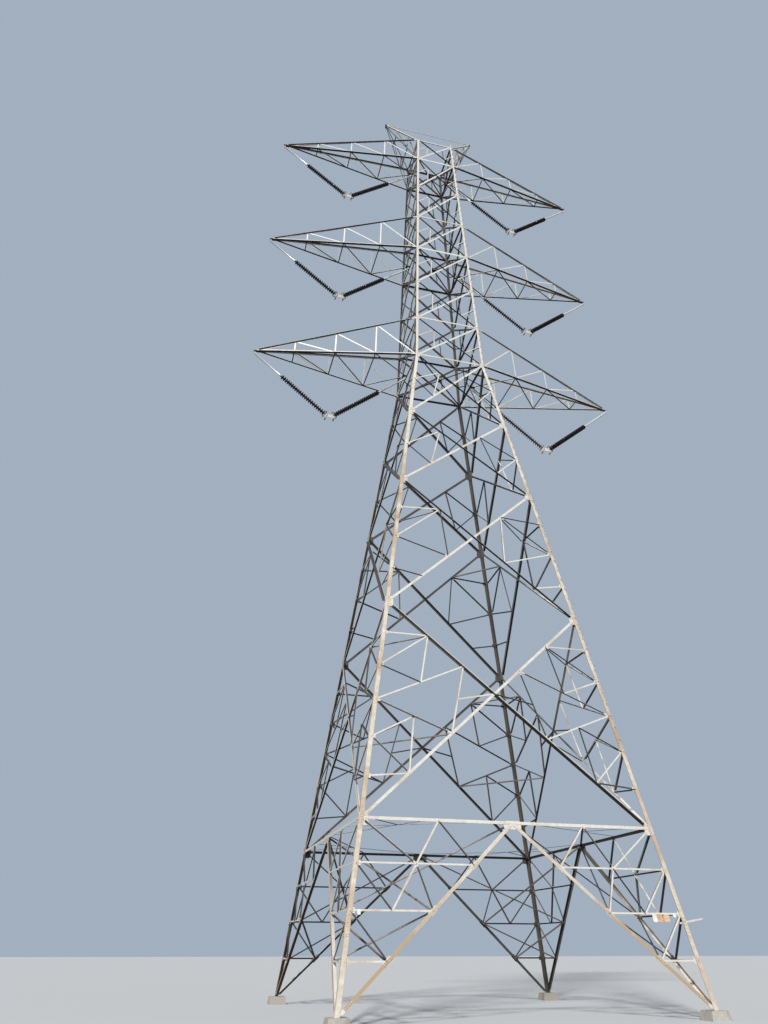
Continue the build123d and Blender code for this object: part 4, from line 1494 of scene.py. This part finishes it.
@dataclass
class Horns:
    """The two horns for the earth wires: slender angles, the tie between the tips and its clamps."""

    level_inset: float = 0.030
    side_inset: float = 0.060
    reach: float = 1.615
    tip_drop: float = 0.010
    chord_step: float = 0.006
    chord_drop: float = 0.014
    low_drop: float = 0.02
    face_lean: float = 0.15
    cross_lean: float = -0.6
    stations: tuple[float, ...] = (0.35, 0.70)
    top_width: float = 0.040
    low_width: float = 0.032
    tie_width: float = 0.026
    web_width: float = 0.024
    wall: float = 0.004
    hanger_radius: float = 0.012
    hanger_top: float = 0.025
    hanger_foot: float = 0.105
    hanger_lean: float = 0.02
    clamp_radius: float = 0.020
    clamp_drop: float = 0.11
    clamp_half: float = 0.07
    rod_sides: int = 8
    stub_inset: float = 0.02
    stub_height: float = 0.20

    def corners(self, hand: float, depth: float) -> tuple[Array, Array, Array]:
        """The tip and the low and high roots of one side frame of a horn.

        Args:
            hand: 1 for the right horn and -1 for the left.
            depth: 1 for the far frame and -1 for the near one.

        Returns:
            Three points.
        """
        found = [np.array([hand * self.reach, 0.0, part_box("earth_wire_horns")[1].z - self.tip_drop])]
        for z in (ARMS[Level.HIGH].bottom + self.level_inset, TOWER.top - self.level_inset):
            half = float(TOWER.half(z))
            found.append(np.array([hand * half, depth * (half - self.side_inset * (depth > 0)), z]))
        return tuple(found)

    def angles(self, rows: list[tuple[Array, Array, Array]], width: float) -> Shape:
        """Angles from rows of start, end and facing, with their standing flange on the lower edge."""
        starts, ends, faces = (np.array(column) for column in zip(*rows))
        return angle_bars(starts, ends, faces, width, self.wall, lower_edge_flip(starts, ends, faces))

    def frames(self, hand: float) -> tuple[list, list, list]:
        """The top chords, low chords and webs of one horn, as rows of start, end and facing.

        Args:
            hand: 1 for the right horn and -1 for the left.

        Returns:
            Three lists of rows.
        """
        tops, lows, webs = [], [], []
        for depth in (-1.0, 1.0):
            tip, low, high = self.corners(hand, depth)
            face = np.array([self.face_lean * hand, depth, 0.0])
            tip = tip + np.array([0.0, self.chord_step * depth, -self.chord_drop])
            tops.append((high, tip, face))
            lows.append((low, tip - np.array([0.0, 0.0, self.low_drop]), face))
            feet = [tip + (low - tip) * share for share in (*self.stations, 1.0)]
            heads = [tip + (high - tip) * share for share in self.stations]
            webs += [(head, foot, face) for head, foot in zip(heads + heads, feet[:2] + feet[1:])]
        for share in self.stations:
            sides = (self.corners(hand, depth) for depth in (-1.0, 1.0))
            near, far = (tip + (low - tip) * share for tip, low, _ in sides)
            webs.append((near, far, np.array([hand, 0.0, self.cross_lean])))
        return tops, lows, webs

    def clamp(self, hand: float) -> list[Shape]:
        """The rod that hangs from one horn's tip and the grip at its foot."""
        tip = self.corners(hand, -1.0)[0]
        lean = self.hanger_lean * hand
        rod = np.linspace(tip - [0.0, 0.0, self.hanger_top], tip - [lean, 0.0, self.hanger_foot], 3)
        near, far = (tip - [lean, y, self.clamp_drop] for y in (self.clamp_half, -self.clamp_half))
        grip = np.linspace(near, far, 5)
        return [swept(rod, self.hanger_radius, self.rod_sides, False),
                swept(grip, self.clamp_radius, self.rod_sides, False)]

    def tie(self) -> Shape:
        """The level angle between the two tips, with its standing flange on the upper edge."""
        drop = [0.0, 0.0, self.chord_drop]
        left, right = (self.corners(hand, -1.0)[0][None] - drop for hand in (-1.0, 1.0))
        return angle_bars(left, right, FRONT, self.tie_width, self.wall, ~lower_edge_flip(left, right, FRONT))

    def build(self) -> None:
        """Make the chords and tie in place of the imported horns, the webs, the clamps and the top stub."""
        horns = [self.frames(hand) for hand in (1.0, -1.0)]
        tops, lows, webs = ([row for horn in horns for row in horn[part]] for part in range(3))
        pale = joined([self.angles(tops, self.top_width), self.tie()])
        piece = make_piece("horn_chords", pale, ARM_STEEL)
        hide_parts("earth_wire_horns")
        # The low chords and webs get the brown steel in painted shade.
        dark = joined([self.angles(lows, self.low_width), self.angles(webs, self.web_width)])
        make_piece("horn_webs", dark, SHADED_BROWN_STEEL)
        clamps = self.clamp(1.0) + self.clamp(-1.0)
        make_piece("horn_clamps", joined(clamps), RING_STEEL, smooth=True)
        half = float(TOWER.half(TOWER.top)) - self.stub_inset
        foot = np.array([[half, -half, TOWER.top - self.stub_inset]])
        stub = angle_bars(foot, foot + [0.0, 0.0, self.stub_height], FRONT, STUB_WIDTH, STUB_WALL)
        make_piece("top_stub", stub, BAR_STEEL)


@dataclass
class InsulatorSet:
    """A V of two strings of round glazed discs, with the links over them and the arcing rings."""

    pin_drop: float = 0.055
    hanger_inset: float = 0.030
    anchor_drop: float = 0.038
    set_drop: float = 1.740
    yoke_span: float = 0.250
    ball_length: float = 0.045
    disc_count: int = 22
    disc_pitch: float = 0.073
    disc_radius: float = 0.070
    segments: int = 16
    stem_radius: float = 0.011
    stem_sides: int = 10
    sleeve_radius: float = 0.021
    sleeve_gap: float = 0.03
    sleeve_slope: float = 0.01
    sleeve_end: float = 0.002
    sleeve_segments: int = 12
    collar: float = 1.25
    ring_radius: float = 0.092
    ring_wire: float = 0.018
    ring_rise: float = 0.2
    ring_steps: int = 28
    ring_sides: int = 8
    stay_drop: float = 0.012
    stay_offset: float = 0.006

    def disc(self) -> Array:
        """One disc's outline, radius and height, from the neck under it to the cap above it.

        Returns:
            Points from the bottom of the ball joint, out under the ribbed shed, over its rim, up
            its slope and in to the metal cap.
        """
        r, p = self.disc_radius, self.disc_pitch
        ribs = [(0.010, 0.0), (0.014, 0.10 * p), (0.030, 0.16 * p), (0.034, 0.06 * p), (0.040, 0.17 * p)]
        rim = [(0.050, 0.04 * p), (r - 0.002, 0.10 * p), (r, 0.17 * p), (r - 0.004, 0.24 * p)]
        slope = [(0.046, 0.40 * p), (0.030, 0.52 * p)]
        cap = [(0.025, 0.56 * p), (0.025, 0.86 * p), (0.017, 0.98 * p), (0.010, p)]
        return np.array(ribs + rim + slope + cap)

    def strings(self, arm: Arm) -> list[tuple[Array, Array]]:
        """Each string's foot on the yoke and its direction upwards, for a right-hand arm."""
        pin = arm.bottom - self.pin_drop
        root = float(TOWER.half(arm.bottom)) + self.hanger_inset
        tip = arm.reach - self.hanger_inset
        found = []
        for anchor, hand in ((root, -1.0), (tip, 1.0)):
            foot = np.array([(root + tip) / 2 + hand * self.yoke_span / 2, 0.0, pin - self.set_drop])
            upward = unit(np.array([anchor, 0.0, pin - self.anchor_drop]) - foot)
            found.append((foot, upward))
        return found

    def build(self) -> None:
        """Make the discs, the link sleeves and the rings of all six sets."""
        for level, arm in ARMS.items():
            for hand, sign in HANDS.items():
                mirror = np.array([sign, 1.0, 1.0])
                strings = [(foot * mirror, upward * mirror) for foot, upward in self.strings(arm)]
                discs = joined([part for foot, upward in strings for part in self.discs(foot, upward)])
                rings = joined([self.arcing_ring(foot, upward) for foot, upward in strings])
                sleeves = joined([self.sleeve(foot, upward, arm) for foot, upward in strings])
                name = f"{level.value}_{hand}"
                body = f"insulator_set_{name}"
                piece = make_piece(f"disc_strings_{name}", discs, GLAZE, body, True)
                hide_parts(f"insulator_strings_{name}")
                make_piece(f"arcing_rings_{name}", rings, RING_STEEL, body, True)
                make_piece(f"link_sleeves_{name}", sleeves, LINK_STEEL, body, True)

    def discs(self, foot: Array, upward: Array) -> list[Shape]:
        """One string's discs, and the stem between the yoke and the lowest of them."""
        steps = self.ball_length + self.disc_pitch * np.arange(self.disc_count)
        rows = (self.disc_count, 1)
        axes = axes_along(np.tile(upward, rows), np.tile([0.0, 1.0, 0.0], rows))
        shape = revolved(self.disc(), self.segments)
        stem = np.linspace(foot, foot + upward * self.ball_length, 3)
        return [repeated(*shape, foot + upward * steps[:, None], axes),
                swept(stem, self.stem_radius, self.stem_sides, False)]

    def sleeve(self, foot: Array, upward: Array, arm: Arm) -> Shape:
        """A round turned link round the flat bar between a string's top and its fork.

        Its radius steps from the collar's to the sleeve's and back.
        """
        top = self.ball_length + self.disc_count * self.disc_pitch
        length = (arm.bottom - self.pin_drop - self.anchor_drop - foot[2]) / upward[2] - top
        low, high, r = self.sleeve_gap, length - self.sleeve_gap, self.sleeve_radius
        wide, end, slope = r * self.collar, self.sleeve_end, self.sleeve_slope
        profile = np.array([(end, 0.0), (wide, end), (wide, low), (r, low + slope), (r, high - slope),
                            (wide, high), (wide, length - slope - end), (end, length - slope)])
        origin = (foot + upward * top)[None]
        axes = axes_along(upward[None], np.array([[0.0, 1.0, 0.0]]))
        return repeated(*revolved(profile, self.sleeve_segments), origin, axes)

    def arcing_ring(self, foot: Array, upward: Array) -> Shape:
        """A ring round the string's foot, held by two stays from the yoke's corner."""
        across = np.array([0.0, 1.0, 0.0])
        third = np.cross(upward, across)
        angle = np.linspace(0, 2 * math.pi, self.ring_steps, endpoint=False)[:, None]
        centre = foot + upward * self.ring_rise * self.ball_length
        ring = centre + self.ring_radius * (np.cos(angle) * across + np.sin(angle) * third)
        parts = [swept(ring, self.ring_wire / 2, self.ring_sides, True)]
        for side in (-1.0, 1.0):
            start = foot - upward * self.stay_drop + across * side * self.stay_offset
            stay = np.linspace(start, centre + across * side * self.ring_radius, 4)
            parts.append(swept(stay, self.ring_wire / 2, self.ring_sides, False))
        return joined(parts)


class CarriedOver:
    """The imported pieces, each with its finish. Most show as they are, and others are drawn anew."""

    FINISHES = {
        "leg_": LEG_STEEL,
        "footing_": CAP_CONCRETE,
        "crossarm_": ARM_STEEL,
        "earth_wire_": ARM_STEEL,
        "insulator_fittings_": FITTING_STEEL,
        "insulator_strings_": GLAZE,
    }

    def finish(self, node: str) -> Finish:
        """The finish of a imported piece, by the start of its name."""
        return next((made for start, made in self.FINISHES.items() if node.startswith(start)), BAR_STEEL)

    def dress(self) -> None:
        """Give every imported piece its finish."""
        for name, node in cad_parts.items():
            node.data.materials.clear()
            node.data.materials.append(self.finish(name).material())


@dataclass(frozen=True)
class Studio:
    """The plain pale floor, the lamps, the sky and the camera at the photograph's viewpoint.

    A sun is given as its name, its power, its spread in degrees and the direction towards it.
    """

    floor_half: float = 160.0
    floor_rough: float = 0.9
    floor_colour: tuple[float, float, float, float] = (0.55, 0.56, 0.56, 1.0)
    bounce_colour: tuple[float, float, float, float] = (0.09, 0.09, 0.085, 1.0)
    suns: tuple[tuple[str, float, float, tuple[float, float, float]], ...] = (
        ("key_sun", 4.0, 6.0, (-0.42, -0.66, 0.62)), ("fill_sun", 0.5, 60.0, (0.6, -0.9, 0.3)),
    )
    lit_sky: tuple[float, float, float, float] = (0.80, 0.87, 1.0, 1.0)
    lit_strength: float = 0.20
    seen_sky: tuple[float, float, float, float] = (0.36, 0.43, 0.52, 1.0)
    seen_strength: float = 1.0
    focal_pixels: float = 774.44
    sensor: float = 36.0
    picture: tuple[int, int] = (768, 1024)
    clip: tuple[float, float] = (0.1, 400.0)
    eye: tuple[float, float, float] = (-6.1235, -16.8916, 1.028)
    pitch: float = 29.53
    yaw: float = 14.78

    def build(self) -> None:
        """Make the floor, the lamps, the world and the camera."""
        self.floor()
        self.lamps()
        self.world()
        self.camera()
        bpy.context.scene.view_settings.view_transform = "Standard"

    def floor(self) -> None:
        """A wide flat floor at the height of the caps' undersides, darker in the light it throws back."""
        h = self.floor_half
        mesh = bpy.data.meshes.new("studio_floor")
        mesh.from_pydata([(-h, -h, 0.0), (h, -h, 0.0), (h, h, 0.0), (-h, h, 0.0)], [], [(0, 1, 2, 3)])
        made = bpy.data.materials.new("studio_floor")
        made.use_nodes = True
        sheet = Sheet(made.node_tree)
        seen = sheet.node("ShaderNodeLightPath").outputs["Is Camera Ray"]
        colour = sheet.blend(seen, self.bounce_colour, self.floor_colour)
        shader = made.node_tree.nodes["Principled BSDF"]
        sheet.fill(shader, {"Base Color": colour, "Roughness": self.floor_rough})
        mesh.materials.append(made)
        floor = bpy.data.objects.new("studio_floor", mesh)
        bpy.context.scene.collection.objects.link(floor)

    def lamps(self) -> None:
        """One strong sun from the upper left, over the camera's shoulder, and a weak one from the right."""
        for name, power, spread, aim in self.suns:
            data = bpy.data.lights.new(name, "SUN")
            data.energy = power
            data.angle = math.radians(spread)
            lamp = bpy.data.objects.new(name, data)
            lamp.rotation_mode = "QUATERNION"
            lamp.rotation_quaternion = Vector(aim).to_track_quat("Z", "Y")
            bpy.context.scene.collection.objects.link(lamp)

    def world(self) -> None:
        """An even sky: a soft light, and a flat grey blue to the camera and to reflections."""
        world = bpy.data.worlds.new("studio_sky")
        bpy.context.scene.world = world
        world.use_nodes = True
        world.node_tree.nodes.clear()
        sheet = Sheet(world.node_tree)
        path = sheet.node("ShaderNodeLightPath").outputs
        skies = ((self.lit_sky, self.lit_strength), (self.seen_sky, self.seen_strength))
        lit, seen = (sheet.node("ShaderNodeBackground", {"Color": colour, "Strength": strength}).outputs[0]
                     for colour, strength in skies)
        mask = sheet.maths("MAXIMUM", path["Is Camera Ray"], path["Is Glossy Ray"])
        mix = sheet.node("ShaderNodeMixShader", {0: mask, 1: lit, 2: seen}).outputs[0]
        sheet.node("ShaderNodeOutputWorld", {"Surface": mix})

    def camera(self) -> None:
        """The camera where the photograph was taken, with the photograph's field of view."""
        data = bpy.data.cameras.new("camera")
        data.sensor_fit = "VERTICAL"
        data.sensor_height = self.sensor
        data.sensor_width = self.sensor
        data.lens = self.focal_pixels / self.picture[1] * self.sensor
        data.clip_start, data.clip_end = self.clip
        pitch, yaw = math.radians(self.pitch), math.radians(self.yaw)
        ahead = Vector((math.sin(yaw) * math.cos(pitch), math.cos(yaw) * math.cos(pitch), math.sin(pitch)))
        camera = bpy.data.objects.new("camera", data)
        camera.rotation_mode = "QUATERNION"
        camera.rotation_quaternion = ahead.to_track_quat("-Z", "Y")
        camera.location = self.eye
        bpy.context.scene.collection.objects.link(camera)
        bpy.context.scene.camera = camera


def main() -> None:
    """Build the tower's added pieces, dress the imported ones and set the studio."""
    logging.basicConfig(level=logging.INFO)
    CarriedOver().dress()
    RedundantBracing().build()
    HipBracing().build()
    Joints().build()
    Legs().build()
    LegFittings().build()
    StandingFlanges().build()
    ArmFlanges().build()
    Horns().build()
    InsulatorSet().build()
    Studio().build()


if __name__ == "__main__":
    main()
